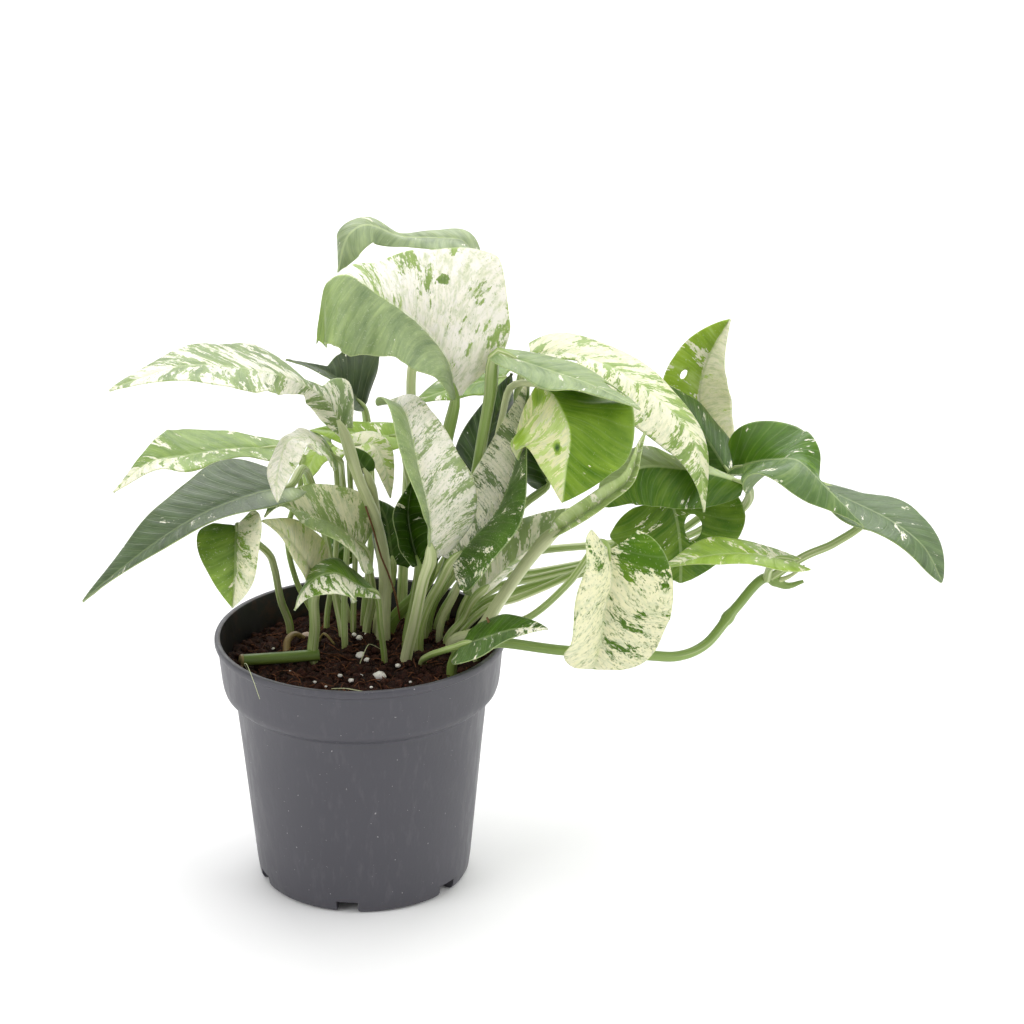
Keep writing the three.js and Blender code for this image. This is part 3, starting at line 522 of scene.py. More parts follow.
leaves["d3"] = dict(
    midrib=[(133, 14, 116), (141, 8, 114), (154, -1, 110), (162, -8, 105), (167, -12, 96)],
    width=16, left=[-76, -66, -60, -55], right=[80, 66, 62, 60], lobe=0.02, base=0.5, tip=0.75,
    stalk=[(141, 17, 111), (147, 13, 106), (138, 9, 100), (129, 6, 97), (119, 4, 91)], radius=1.3,
    cream=[0.03, 0.05], tone=0.36, fleck=0.1, sheen=0.4)
leaves["e1"] = dict(
    midrib=[(71, -26, 112), (72, -31, 105), (70, -34, 97), (69, -34, 88), (67, -32, 78)],
    width=18.5, left=[0, -5, -10], right=[64, 58, 30], lobe=0.12, tip=0.4,
    ratio=[1, [1, 0.95, 0.85, 0.8, 0.8]],
    stalk=[(69, -21, 112), (60, -13, 96), (49, -9, 84), (39, -6, 79), (34, -4, 70)],
    cream=[0.74, 0.76], tone=[0.4, 0.38], fleck=0.85, warm=[0.65, 0.7], sheen=0,
    spots=[(-0.7, 0.12, 0.4, 0.12, -0.9)])
leaves["e2"] = dict(
    midrib=[(124, -10, 102), (112, -12, 105), (99, -14, 105), (86, -18, 103)],
    width=11, left=[75, 72, 75], right=[-72, -60, -72], ratio=[1, [0.6, 0.6, 0.9, 1.2, 1.3, 1.2]],
    stalk=[(119, -6, 99), (118, 3, 91)],
    cream=[0.2, 0.35], tone=[0.75, 0.72], fleck=0.2, warm=0.5, sheen=0.05)
leaves["e3"] = dict(
    midrib=[(90, 9, 114), (92, 7, 107), (93, 4, 99), (93, 2, 90)],
    width=20, left=[-10, 0, -10], right=[0, 0, -20], lobe=0, tip=0.7,
    ratio=[[1, 1, 0.9, 0.75], [1, 1, 0.9, 0.75]],
    stalk=[(82, 16, 103), (68, 13, 92), (46, 10, 82), (37, 10, 79), (28, 9, 69)],
    holes=[(-0.22, 0.38, 0.13, 0.14)],
    cream=[0.1, 0.2], fleck=0.2, warm=0.4, sheen=0.05)
leaves["f1"] = dict(
    midrib=[(33, 7, 83), (44, 10, 93), (55, 13, 101), (70, 16, 108)],
    width=13, left=[-40, -45, -55], right=[-74, -78, -70], lobe=0.03, base=0.6, ratio=[1, 0.55],
    stalk=[(30, 9, 76), (25, 9, 69)], radius=1.2,
    cream=[0.55, 0.5], tone=0.7, fleck=0.3, sheen=0.45)
leaves["g1"] = dict(
    midrib=[(30, -22, 81), (37, -30, 87), (45, -36, 92), (54, -42, 95)],
    width=9, left=-60, right=[60, 60, 65], lobe=0.03,
    stalk=[(25, -19, 78), (20, -12, 73), (18, -6, 68)],
    cream=[0.02, 0.3], tone=[0.26, 0.34], fleck=0.2, sheen=[0.05, 0.3])
leaves["h1"] = dict(
    midrib=[(55, 28, 111), (53, 28, 115), (49, 30, 124)],
    width=9, left=-50, right=-50,
    stalk=[(48, 30, 104), (40, 28, 94), (33, 25, 86), (28, 23, 80), (22, 20, 70)],
    tone=0.15)
vineStem = dict(
    points=[(27, -14, 62), (27, -15, 72), (31, -18, 79), (39, -20, 81), (58, -21, 79), (82, -20, 77),
      (92, -16, 75), (100, -10, 76), (109, -2, 84), (118, 4, 91), (124, 5, 88), (129, 6, 89)],
    radius=1.5, taper=0.07, look=(0.3, 0.42), steps=120, bears=["d3", "e2"],
    joints=(0.2, 0.48, 0.78, 0.93), jointSize=0.35, jointReach=0.012)
cutStem = dict(points=[(-34, -8, 70), (-22, -6, 70), (-12, -4, 70)], radius=1.8, look=(0.0, 0.12), steps=30,
               bears=["a7"])
blade = dict(
    thickness=0.5, thinning=0.45, cell=0.9, bunch=1.25, tipAt=0.998, sheetRows=160, sheetHalf=30,
    curl=-16, wave=6, waves=2.2, quilt=0.12, veinLean=0.85, veinBend=0.45,
    channel=0.35, ribDepth=0.7, ribWidth=1.1, ribFade=0.6)
soilLevel = 68
# towards the camera, at right angles to the plane that the leaves are set out in
frontWay = np.array([0, -0.9304, 0.3665])
# the marbling's own number for each growth
seeds = dict(step=3.7, vine=5.0, vineLeaves=151, cut=9.0, cutLeaf=163, dry=300, dryStep=3.1)


def unitOf(vectors):
    return vectors / np.maximum(np.linalg.norm(vectors, axis=-1, keepdims=True), 1e-9)


def smoothPath(points, count):
    # a centripetal Catmull-Rom path, stepped evenly along its length
    points = np.array(points, float)
    ends = np.vstack([2 * points[0] - points[1], points, 2 * points[-1] - points[-2]])
    fine = []
    for k in range(len(points) - 1):
        p0, p1, p2, p3 = ends[k:k + 4]
        d0, d1, d2 = (max(np.linalg.norm(b - a), 1e-4) ** 0.5 for a, b in ((p0, p1), (p1, p2), (p2, p3)))
        m1 = ((p1 - p0) / d0 - (p2 - p0) / (d0 + d1) + (p2 - p1) / d1) * d1
        m2 = ((p2 - p1) / d1 - (p3 - p1) / (d1 + d2) + (p3 - p2) / d2) * d1
        w = np.linspace(0, 1, 60, endpoint=False)[:, None]
        square, cube = -3 * p1 + 3 * p2 - 2 * m1 - m2, 2 * p1 - 2 * p2 + m1 + m2
        fine.append(p1 + m1 * w + square * w ** 2 + cube * w ** 3)
    fine = np.vstack(fine + [points[-1:]])
    run = np.concatenate([[0], np.cumsum(np.linalg.norm(np.diff(fine, axis=0), axis=1))])
    steps = np.linspace(0, run[-1], count + 1)
    return np.stack([np.interp(steps, run, fine[:, i]) for i in range(3)], 1), run[-1]


def alongList(values, t):
    values = np.atleast_1d(np.array(values, float))
    if len(values) == 1:
        return np.full_like(t, values[0], float)
    x = t * (len(values) - 1)
    k = np.clip(np.floor(x).astype(int), 0, len(values) - 2)
    u = x - k
    eased = 0.5 * u * u * (3 - 2 * u) + 0.5 * u
    return values[k] * (1 - eased) + values[k + 1] * eased


def halves(leaf, key, usual, across, along):
    # the leaf's value at places across and along, from one number or from a left one and a right one
    value = leaf.get(key, usual)
    left, right = value if isinstance(value, list) else (value, value)
    return np.where(across < 0, alongList(left, along), alongList(right, along))


def bladeSheet(leaf, rows, half):
    # the blade's middle surface as a grid of points, rows from the stalk to the tip
    lobe, base, tip = leaf.get("lobe", 0.1), leaf.get("base", 0.35), leaf.get("tip", 0.95)
    centre, length = smoothPath(leaf["midrib"], rows)
    t = np.linspace(0, 1, rows + 1)
    tangent = unitOf(np.gradient(centre, axis=0))
    side = unitOf(np.cross(tangent, frontWay))
    out = np.cross(side, tangent)
    peakAt = base / (base + tip)
    peak = (peakAt + 0.03) ** base * (1 - peakAt) ** tip
    width = leaf["width"] * (t + 0.03) ** base * (1 - t) ** tip / peak
    sheet = np.zeros((rows + 1, 2 * half + 1, 3))
    sheet[:, half] = centre
    for sign, turns in ((-1, leaf["left"]), (1, leaf["right"])):
        point = centre.copy()
        lean = np.radians(halves(leaf, "slant", 0, sign, t))[:, None]
        step = (width * halves(leaf, "ratio", 1, sign, t) / half)[:, None]
        for j in range(1, half + 1):
            u = (j - 0.5) / half
            sway = blade["wave"] * np.sin(2 * np.pi * (blade["waves"] * t + 0.3 * (2 + sign))) * u ** 2
            turn = np.radians(alongList(turns, t) + blade["curl"] * (u - 0.5) + sway)[:, None]
            turned = sign * np.cos(turn) * side + np.sin(turn) * out
            point = point + step * (turned * np.cos(lean) + tangent * np.sin(lean))
            back = lobe * length * (1 - t) ** 4 * (j / half) ** 1.5
            sheet[:, half + sign * j] = point - back[:, None] * tangent
    return sheet, length, width


def pick(grid, across, along):
    # the grid's value at places across (-1 to 1) and along (0 to 1)
    rows, columns = grid.shape[0] - 1, grid.shape[1] - 1
    x, y = (across + 1) / 2 * columns, along * rows
    j, i = np.clip(np.floor(x).astype(int), 0, columns - 1), np.clip(np.floor(y).astype(int), 0, rows - 1)
    a, b = (x - j)[..., None], (y - i)[..., None]
    return ((grid[i, j] * (1 - a) + grid[i, j + 1] * a) * (1 - b)
            + (grid[i + 1, j] * (1 - a) + grid[i + 1, j + 1] * a) * b)


def openHoles(leaf, across, along):
    # which cells stay, with the points round each hole moved onto its edge
    rows, columns = across.shape[0] - 1, across.shape[1] - 1
    keep = np.ones((rows, columns), bool)
    for u, v, du, dv in leaf.get("holes", []):
        far = np.hypot((across - u) / du, (along - v) / dv)
        gone = (far[1:, 1:] + far[:-1, 1:] + far[1:, :-1] + far[:-1, :-1]) / 4 < 1
        keep &= ~gone
        near, rest = np.zeros(across.shape, bool), np.zeros(across.shape, bool)
        for di, dj in ((0, 0), (0, 1), (1, 0), (1, 1)):
            near[di:rows + di, dj:columns + dj] |= gone
            rest[di:rows + di, dj:columns + dj] |= ~gone
        across, along = (np.where(near & rest, middle + (grid - middle) / np.maximum(far, 0.2), grid)
                         for grid, middle in ((across, u), (along, v)))
    return keep, across, along


def bladeShell(leaf, seed):
    # both faces of the blade, joined round the margin and round each hole
    sheet, length, width = bladeSheet(leaf, blade["sheetRows"], blade["sheetHalf"])
    rows = max(18, int(length / blade["cell"]))
    half = max(7, int(leaf["width"] / blade["cell"]))
    down, over = np.linspace(0, 1, rows + 1) ** blade["bunch"], np.linspace(-1, 1, 2 * half + 1)
    along, across = np.meshgrid(down, over, indexing="ij")
    along[-1] = blade["tipAt"]
    keep, across, along = openHoles(leaf, across, along)
    point = pick(sheet, across, along)
    normal = unitOf(np.cross(np.gradient(point, axis=1), np.gradient(point, axis=0)))
    reach = np.interp(along, np.linspace(0, 1, len(width)), width) * halves(leaf, "ratio", 1, across, along)
    out = across * reach
    bend = blade["veinBend"] * out ** 2 / max(leaf["width"], 1)
    cross = along * length - blade["veinLean"] * np.abs(out) + bend
    veins = np.cos(np.pi * cross / veinSpacing)
    quilt = blade["quilt"] * veins * np.sin(np.pi * np.abs(across)) ** 0.7
    channel = np.exp(-(out / blade["ribWidth"]) ** 2) * (1 - blade["ribFade"] * along)
    thickness = blade["thickness"] * (1 - blade["thinning"] * across ** 2)
    upper = point + normal * (thickness / 2 + quilt - blade["channel"] * channel)[..., None]
    lower = point - normal * (thickness / 2 - quilt + blade["ribDepth"] * channel)[..., None]
    count = across.size
    index = np.arange(count).reshape(across.shape)
    quads = np.stack([index[:-1, :-1], index[:-1, 1:], index[1:, 1:], index[1:, :-1]], -1)[keep]
    edges = np.concatenate([quads[:, [k, (k + 1) % 4]] for k in range(4)])
    code = np.sort(edges, 1) @ np.array([count, 1])
    _, first, times = np.unique(code, return_index=True, return_counts=True)
    rim = edges[first[times == 1]]
    faces = np.concatenate([quads, quads[:, ::-1] + count,
                            np.stack([rim[:, 1], rim[:, 0], rim[:, 0] + count, rim[:, 1] + count], 1)])
    cream, tone, warm, sheen = (halves(leaf, key, usual, across, along) for key, usual in (
        ("cream", 0), ("tone", 0.5), ("warm", 0.2), ("sheen", 0.1)))
    for field, key in ((cream, "spots"), (tone, "shades")):
        for u, v, du, dv, amount in leaf.get(key, []):
            field += amount * np.exp(-((across - u) / du) ** 2 - ((along - v) / dv) ** 2)

    def onBoth(*grids):
        # a row of values for each point of the upper and then of the lower face
        return np.stack([np.tile(np.broadcast_to(grid, across.shape).ravel(), 2) for grid in grids], 1)

    return dict(
        points=np.concatenate([upper.reshape(-1, 3), lower.reshape(-1, 3)]), faces=faces.tolist(), slot=0,
        looks=np.column_stack([onBoth(cream, tone, leaf.get("fleck", 0)), np.repeat([0.0, 1.0], count)]),
        veins=onBoth(cross, out, seed), tint=onBoth(warm, sheen, 0), mapping=onBoth(across * 0.5 + 0.5, along))


# Geometry Nodes: a tree with named inputs, which realises what it grows and paints it at its end
def newGrowth(name, inputs):
    tree = bpy.data.node_groups.new(name, "GeometryNodeTree")
    tree.interface.new_socket("Geometry", in_out="INPUT", socket_type="NodeSocketGeometry")
    for label, value in inputs.items():
        kind = "NodeSocketInt" if isinstance(value, int) else "NodeSocketFloat"
        tree.interface.new_socket(label, in_out="INPUT", socket_type=kind).default_value = value
    tree.interface.new_socket("Geometry", in_out="OUTPUT", socket_type="NodeSocketGeometry")
    return tree, grow(tree, "NodeGroupInput")


def endGrowth(tree, geometry, material):
    real = geo(tree, "RealizeInstances", {"Geometry": geometry})
    painted = geo(tree, "SetMaterial", {"Geometry": real, "Material": material})
    grow(tree, "NodeGroupOutput", {0: painted})
    return tree


def grownMesh(mesh, tree, values):
    # runs the tree on the mesh and returns the result as a plain mesh
    piece = addObject(mesh.name, mesh)
    modifier = piece.modifiers.new("grow", "NODES")
    modifier.node_group = tree
    for item in tree.interface.items_tree:
        if item.in_out == "INPUT" and item.name in values:
            modifier[item.identifier] = values[item.name]
    graph = bpy.context.evaluated_depsgraph_get()
    grown = piece.evaluated_get(graph)
    made = bpy.data.meshes.new_from_object(grown, preserve_all_data_layers=True, depsgraph=graph)
    piece.modifiers.clear()
    bpy.data.objects.remove(piece)
    return made


def stored(tree, geometry, name, value):
    return geo(tree, "StoreNamedAttribute", {"Geometry": geometry, "Name": name, "Value": value},
                data_type="FLOAT", domain="POINT")


# a stalk is a grooved tube along a path of points that carry their own thickness
stalkShape = {"Sides": 12, "Groove": 0.22}
usualStalk = dict(
    radius=1.1, footShare=1.15, look=(0.5, 0.55), joint=0.18, jointAt=0.13, jointReach=0.05, depth=8)
soilStain = dict(above=6, reach=9, brown=0.45, dark=0.1)


def stalkGrowth():
    tree, inputs = newGrowth("stalkGrowth", stalkShape)
    path = geo(tree, "MeshToCurve", {"Mesh": inputs["Geometry"]})
    thickness = geo(tree, "InputNamedAttribute", {"Name": "thickness"}, data_type="FLOAT")
    sized = geo(tree, "SetCurveRadius", {"Curve": path, "Radius": thickness})
    marked = stored(tree, sized, "alongStalk", grow(tree, "GeometryNodeSplineParameter")["Length"])
    ring = geo(tree, "CurvePrimitiveCircle", {"Resolution": inputs["Sides"], "Radius": 1.0})
    turned = stored(tree, ring, "roundStalk", grow(tree, "GeometryNodeSplineParameter")["Factor"])
    # the groove pulls in the side of the ring that lies at +Y
    spot = apart(geo(tree, "InputPosition"))
    inward = spot[1].maths("MAXIMUM", 0.0).maths("POWER", 6.0) * inputs["Groove"]
    grooved = geo(tree, "SetPosition", {"Geometry": turned, "Offset": combine(
        tree, 0.0, inward * -1, 0.0)})
    tube = geo(tree, "CurveToMesh", {"Curve": marked, "Profile Curve": grooved, "Scale": thickness,
                "Fill Caps": True})
    return endGrowth(tree, tube, stalkMaterial)


stalkTree = stalkGrowth()


def readAll(items, field, size=1):
    values = np.zeros(len(items) * size)
    items.foreach_get(field, values)
    return values.reshape(-1, size) if size > 1 else values


def stalkTube(points, thickness, look, seed, steps=44):
    # look is cream, lightness and, where it is given, how brown; else the stalk browns near the soil
    path, length = smoothPath(points, steps)
    line = newMesh("stalkPath", path, [(i, i + 1) for i in range(steps)], [], 1)
    radii = thickness(np.linspace(0, 1, steps + 1))
    line.attributes.new("thickness", "FLOAT", "POINT").data.foreach_set("value", radii)
    made = grownMesh(line, stalkTree, stalkShape)
    points = readAll(made.vertices, "co", 3)
    alongIt, roundIt = (readAll(made.attributes[name].data, "value") for name in ("alongStalk", "roundStalk"))
    faces = [list(f.vertices) for f in made.polygons]
    bpy.data.meshes.remove(made)
    low = np.clip((soilLevel + soilStain["above"] - points[:, 2]) / soilStain["reach"], 0, 1)
    brown = look[2] if len(look) > 2 else soilStain["brown"] * low ** 2
    none = 0 * low
    return dict(points=points, faces=faces, slot=1, tint=np.zeros(points.shape),
                looks=np.stack([look[0] + none, look[1] - soilStain["dark"] * low, brown + none, none], 1),
                veins=np.stack([alongIt, roundIt, seed + none], 1),
                mapping=np.stack([roundIt, alongIt / length], 1))


def joined(name, parts):
    # several closed shells as one piece, with their attributes
    faces, slots, start = [], [], 0
    for part in parts:
        faces += [[v + start for v in f] for f in part["faces"]]
        slots += [part["slot"]] * len(part["faces"])
        start += len(part["points"])
    together = {key: np.concatenate([part[key] for part in parts])
                for key in ("points", "looks", "veins", "tint", "mapping")}
    mesh = newMesh(name, together["points"], [], faces)
    for key, kind, field in (("looks", "FLOAT_COLOR", "color"), ("veins", "FLOAT_VECTOR", "vector"),
                             ("tint", "FLOAT_VECTOR", "vector")):
        mesh.attributes.new(key, kind, "POINT").data.foreach_set(field, together[key].ravel())
    corners = readAll(mesh.loops, "vertex_index").astype(int)
    mesh.uv_layers.new(name="bladeMap").data.foreach_set("uv", together["mapping"][corners].ravel())
    for material in (leafMaterial, stalkMaterial):
        mesh.materials.append(material)
    mesh.polygons.foreach_set("material_index", slots)
    return meshPiece(name, mesh)


def meshPiece(name, mesh, sharpAngle=None):
    mesh.name = name
    mesh.polygons.foreach_set("use_smooth", [True] * len(mesh.polygons))
    if sharpAngle:
        mesh.set_sharp_from_angle(angle=math.radians(sharpAngle))
    mesh.update()
    return addObject(name, mesh)


def settle(piece, slot, *nodes):
    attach(piece, "root")
    if nodes:
        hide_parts(*nodes)


def leafParts(key, seed, rooted):
    leaf = leaves[key]
    first, second = np.array(leaf["midrib"][0], float), np.array(leaf["midrib"][1], float)
    points = [second + (first - second) * 0.6, first] + [np.array(p, float) for p in leaf["stalk"]]
    if rooted:
        points.append(np.array([points[-1][0], points[-1][1], soilLevel - usualStalk["depth"]]))
    radius = leaf.get("radius", usualStalk["radius"])
    foot = leaf.get("foot", radius * usualStalk["footShare"])

    def thickness(t):
        joint = usualStalk["joint"] * np.exp(-((t - usualStalk["jointAt"]) / usualStalk["jointReach"]) ** 2)
        return radius * (np.clip(0.35 + t / 0.09, 0, 1) + joint) + (foot - radius) * t ** 4

    return [bladeShell(leaf, seed), stalkTube(points, thickness, leaf.get("stem", usualStalk["look"]), seed)]


borne = vineStem["bears"] + cutStem["bears"]
for number, key in enumerate(leaves):
    if key not in borne:
        growth = joined("leaf" + key.upper(), leafParts(key, number * seeds["step"], True))
        settle(growth, "leaf", "leaf_" + key)
say("leaves")


def vineThickness(t):
    end = np.clip((1 - t) / vineStem["taper"], 0, 1)
    size, reach = vineStem["jointSize"], vineStem["jointReach"]
    joints = sum(size * np.exp(-((t - place) / reach) ** 2) for place in vineStem["joints"])
    return vineStem["radius"] * (0.35 + 0.65 * end) * (1 + joints)


def cutThickness(t):
    return np.full_like(t, cutStem["radius"])


vineParts = [stalkTube(vineStem["points"], vineThickness, vineStem["look"], seeds["vine"], vineStem["steps"])]
for number, key in enumerate(vineStem["bears"]):
    vineParts += leafParts(key, seeds["vineLeaves"] + number * seeds["step"], False)
settle(joined("trailingVine", vineParts), "leaf", "vine")

cutParts = [stalkTube(cutStem["points"], cutThickness, cutStem["look"], seeds["cut"], cutStem["steps"])]
for key in cutStem["bears"]:
    cutParts += leafParts(key, seeds["cutLeaf"], True)
settle(joined("cutStem", cutParts), "leaf", "cutting")
say("vine and cut stem")

# dry sheaths, root stubs and root hairs: points, radius at the two ends, and cream, tone, brown
dryBits = dict(
    sheathEdge=([(2, 2, 114), (4, 4, 106), (6, 6, 97), (8, 9, 90), (10, 11, 82), (11, 13, 74)],
                0.3, 0.3, (0, 0.3, 1)),
    budSheath=([(-1, 6, 126), (1, 8, 120), (3, 10, 113), (5, 12, 106)], 0.5, 0.9, (0.9, 0.8, 0.1)),
    stubLow=([(37, -21, 85), (38, -23, 87), (37, -23, 90)], 0.8, 0.3, (0, 0.3, 0.9)),
    rootLeft=([(-22, 5, 66), (-22, 8, 69), (-20, 12, 69.6), (-17, 14, 67)], 1.2, 0.8, (0.3, 0.5, 0.8)),
    rootBack=([(-13, 12, 67), (-11, 9, 71), (-8, 8, 68)], 0.5, 0.3, (0.2, 0.5, 0.7)),
    cutEnd=([(-34.6, -8.2, 70.1), (-34.0, -8.0, 70)], 1.7, 1.95, (0.1, 0.8, 0.75)),
    cutShred=([(-34, -9.4, 69), (-35, -10.4, 67.4), (-35.2, -11, 65.8)], 0.45, 0.2, (0, 0.5, 0.9)),
    hairOver=([(-31, -19, 71), (-32, -24.5, 76), (-31, -29, 78.2), (-29, -33.5, 75.5), (-27, -36, 70.5)],
              0.08, 0.07, (1, 1, 0)),
    hairFront=([(-7, -30, 71), (-3, -32, 72), (2, -33, 71.6), (8, -32, 71)], 0.14, 0.1, (1, 1, 0.1)),
    hairMid=([(0, -8, 69), (2, -5, 73), (3, -1, 72), (6, 2, 69)], 0.12, 0.1, (1, 1, 0.1)),
    vineSheath=([(121, 4, 90), (124, 4, 91), (127, 4, 93), (129, 4, 95)], 0.9, 0.25, (0.6, 0.9, 0)),
)
drySteps = 16
dryParts = []
for number, (points, thick, thin, look) in enumerate(dryBits.values()):
    seed = seeds["dry"] + number * seeds["dryStep"]
    dryParts.append(stalkTube(points, lambda t: thick + (thin - thick) * t, look, seed, drySteps))
settle(joined("dryBits", dryParts), "leaf")
say("dry bits")


# the pot: a profile of radius and height, and the inputs of its tree
potProfile = [
    (0, 0), (13.6, 0), (14.3, 0.5), (14.9, 1.6), (26.1, 1.6), (26.8, 0.4), (27.4, 0), (29.8, 0),
    (30.6, 0.3), (31.2, 1.4), (31.7, 5), (35.2, 41), (36.7, 55.6), (37.1, 56.9), (38.5, 58), (39.8, 59.3),
    (40.3, 60.9), (40.6, 62.8), (41.5, 72.1), (41.7, 72.9), (42.3, 73.4), (42.5, 74), (42.5, 74.8),
    (42.3, 75.3), (41.9, 75.5), (41.4, 75.5), (40.9, 75.3), (40.6, 74.6), (39.3, 62.6), (38.6, 60.6),
    (37.2, 59), (35.5, 57.4), (34, 41), (30.6, 5), (29.6, 3.4), (0, 3.4)]
potShape = {"Segments": 180, "Profile Points": len(potProfile), "Notches": 6, "Notch Width": 6.3 * mm,
            "Notch Height": 3.5 * mm, "Turn": math.radians(-97)}
notchBox = dict(fromAxis=32, depth=16)
potSharpAngle = 28
# the pot's colours; the near-black one is painted shade for the inner wall above the soil, and smear is soil
# on that wall
potPaint = dict(
    dark="#403f46", light="#47464d", scuff="#7d7c82", dust="#c5c3c4", shadedInside="#131112", smear="#2e1a13")
# the line of the inner wall: its lean, its radius at the pot's base, how soft it is, and where it starts
innerWall = dict(lean=0.106, radius=33.27, soft=0.2, low=60.2, high=60.6)


def objectPlace(tree):
    return Wire(grow(tree, "ShaderNodeTexCoord")["Object"])


def potPlastic():
    material, tree, shader = newMaterial("potPlastic")
    place = objectPlace(tree)
    drawn = grow(tree, "ShaderNodeMapping", {"Vector": place, "Scale": (1.0, 1.0, 0.25)})[0]
    scuffs = noise(drawn, 420.0, 4, 0.65)
    dust = fade(noise(place, 1100.0, 2), 0.73, 0.78)
    skin = blend(noise(place, 30.0, 3), potPaint["dark"], potPaint["light"])
    skin = blend(fade(scuffs, 0.5, 0.75) * 0.12, skin, potPaint["scuff"])
    skin = blend(dust * 0.55, skin, potPaint["dust"])
    x, y, z = apart(place)
    fromAxis = grow(tree, "ShaderNodeVectorMath", {0: combine(tree, x, y, 0.0)}, operation="LENGTH")["Value"]
    wallLine = z * innerWall["lean"] + innerWall["radius"] * mm
    within = fade(fromAxis, wallLine, wallLine + innerWall["soft"] * mm, 1.0, 0.0)
    # the inner wall above the soil is painted near black: painted shade where the rim and wall shade it; the
    # smear on it is soil
    shadedInside = within * fade(z, innerWall["low"] * mm, innerWall["high"] * mm)
    skin = blend(shadedInside, skin, potPaint["shadedInside"])
    skin = blend(fade(noise(place, 160.0, 4, 0.7), 0.5, 0.62) * shadedInside, skin, potPaint["smear"])
    plug(shader, {"Base Color": skin, "Roughness": fade(scuffs, 0.3, 0.75, 0.36, 0.52)})
    giveRelief(shader, noise(place, 900.0, 3), 0.12, 0.0003)
    return material


def potGrowth():
    # a grid is bent round the axis, each of its rows at one point of the profile; then the notches are cut
    tree, inputs = newGrowth("potGrowth", potShape)
    segments, profilePoints = Wire(inputs["Segments"]), inputs["Profile Points"]
    grid = geo(tree, "MeshGrid", {"Vertices X": segments + 1, "Vertices Y": profilePoints})
    index = Wire(geo(tree, "InputIndex"))
    position = geo(tree, "InputPosition")
    angle = ((index + 0.5) / profilePoints).maths("FLOOR") * (2 * math.pi) / segments
    step = index.maths("FLOORED_MODULO", profilePoints)
    sample = {"Geometry": inputs["Geometry"], "Index": step, "Value": position}
    radius, _, height = apart(geo(tree, "SampleIndex", sample, data_type="FLOAT_VECTOR", domain="POINT"))
    ring = combine(tree, radius * angle.maths("COSINE"), radius * angle.maths("SINE"), height)
    wall = geo(tree, "SetPosition", {"Geometry": grid, "Position": ring})
    whole = geo(tree, "MergeByDistance", {"Geometry": wall, "Distance": 5e-6})
    # boxes round the foot
    footRing = geo(tree, "MeshCircle", {"Vertices": inputs["Notches"], "Radius": notchBox["fromAxis"] * mm})
    turn = combine(tree, 0.0, 0.0, inputs["Turn"])
    turned = geo(tree, "Transform", {"Geometry": footRing, "Rotation": turn})
    size = combine(tree, notchBox["depth"] * mm, inputs["Notch Width"], Wire(inputs["Notch Height"]) * 2)
    box = geo(tree, "MeshCube", {"Size": size})
    x, y, _ = apart(position)
    facing = combine(tree, 0.0, 0.0, y.maths("ARCTAN2", x))
    boxes = geo(tree, "InstanceOnPoints", {"Points": turned, "Instance": box, "Rotation": facing})
    cutters = geo(tree, "RealizeInstances", {"Geometry": boxes})
    cut = geo(tree, "MeshBoolean", {"Mesh 1": whole, "Mesh 2": cutters}, operation="DIFFERENCE")
    return endGrowth(tree, cut, potPlastic())


potSteps = [(i, i + 1) for i in range(len(potProfile) - 1)]
potSection = newMesh("potSection", [(r, 0, z) for r, z in potProfile], potSteps, [])
pot = meshPiece("nurseryPot", grownMesh(potSection, potGrowth(), potShape), potSharpAngle)
settle(pot, "pot_plastic", "pot")
say("pot")


# the soil: sides are the radius and height of the rings below its top
soilShape = dict(topRadius=39.6, rings=56, segments=170, lump=0.9,
                 sides=((39.2, 64), (38.2, 61), (34.7, 56.8), (29.6, 4.0)))
peatPaint = dict(
    peat=("#170c08", "#2c1812", "#4a291d"),
    peatCrumb=("#1f110c", "#3a2018", "#5c3526"),
    peatFibre=("#3c2418", "#6b422c", "#8d6040"),
)


def peatMaterial(name):
    material, tree, shader = newMaterial(name)
    dark, middle, red = peatPaint[name]
    place = objectPlace(tree)
    fine = noise(place, 1500.0, 3, 0.7)
    skin = blend(fade(noise(place, 260.0, 3, 0.6), 0.35, 0.65), dark, middle)
    skin = blend(fade(fine, 0.5, 0.7) * 0.7, skin, red)
    plug(shader, {"Base Color": skin, "Roughness": 0.9, "Specular IOR Level": 0.2})
    giveRelief(shader, fine, 0.6, 0.0006)
    return material


def soilTop(x, y):
    # higher at the front, lower at the back left, with soft lumps all over
    front = np.maximum(0, (-y - 14) / 24)
    backLeft = np.maximum(0, (y - x - 20) / 40)
    lumps = 0.5 * np.sin(x * 0.61 + 1.3 * np.cos(y * 0.37)) + 0.4 * np.sin(y * 0.83 + x * 0.29 + 2)
    return float(soilLevel - 0.6 + 3 * front ** 2 - 2.5 * backLeft + lumps)


def noiseAt(place):
    return noiseMaker.noise(Vector(place))


def bedHeight(x, y, ring):
    lift = noiseAt((x * 0.35, y * 0.35, 0.0)) * 1.2 + noiseAt((x * 1.1, y * 1.1, 4.0)) * 0.7
    share = 0.3 if ring == soilShape["rings"] else min(ring, 1)
    return soilTop(x, y) + lift * soilShape["lump"] * share


def circle(radius, turns):
    angles = [2 * math.pi * k / turns for k in range(turns)]
    return [(radius * math.cos(angle), radius * math.sin(angle)) for angle in angles]


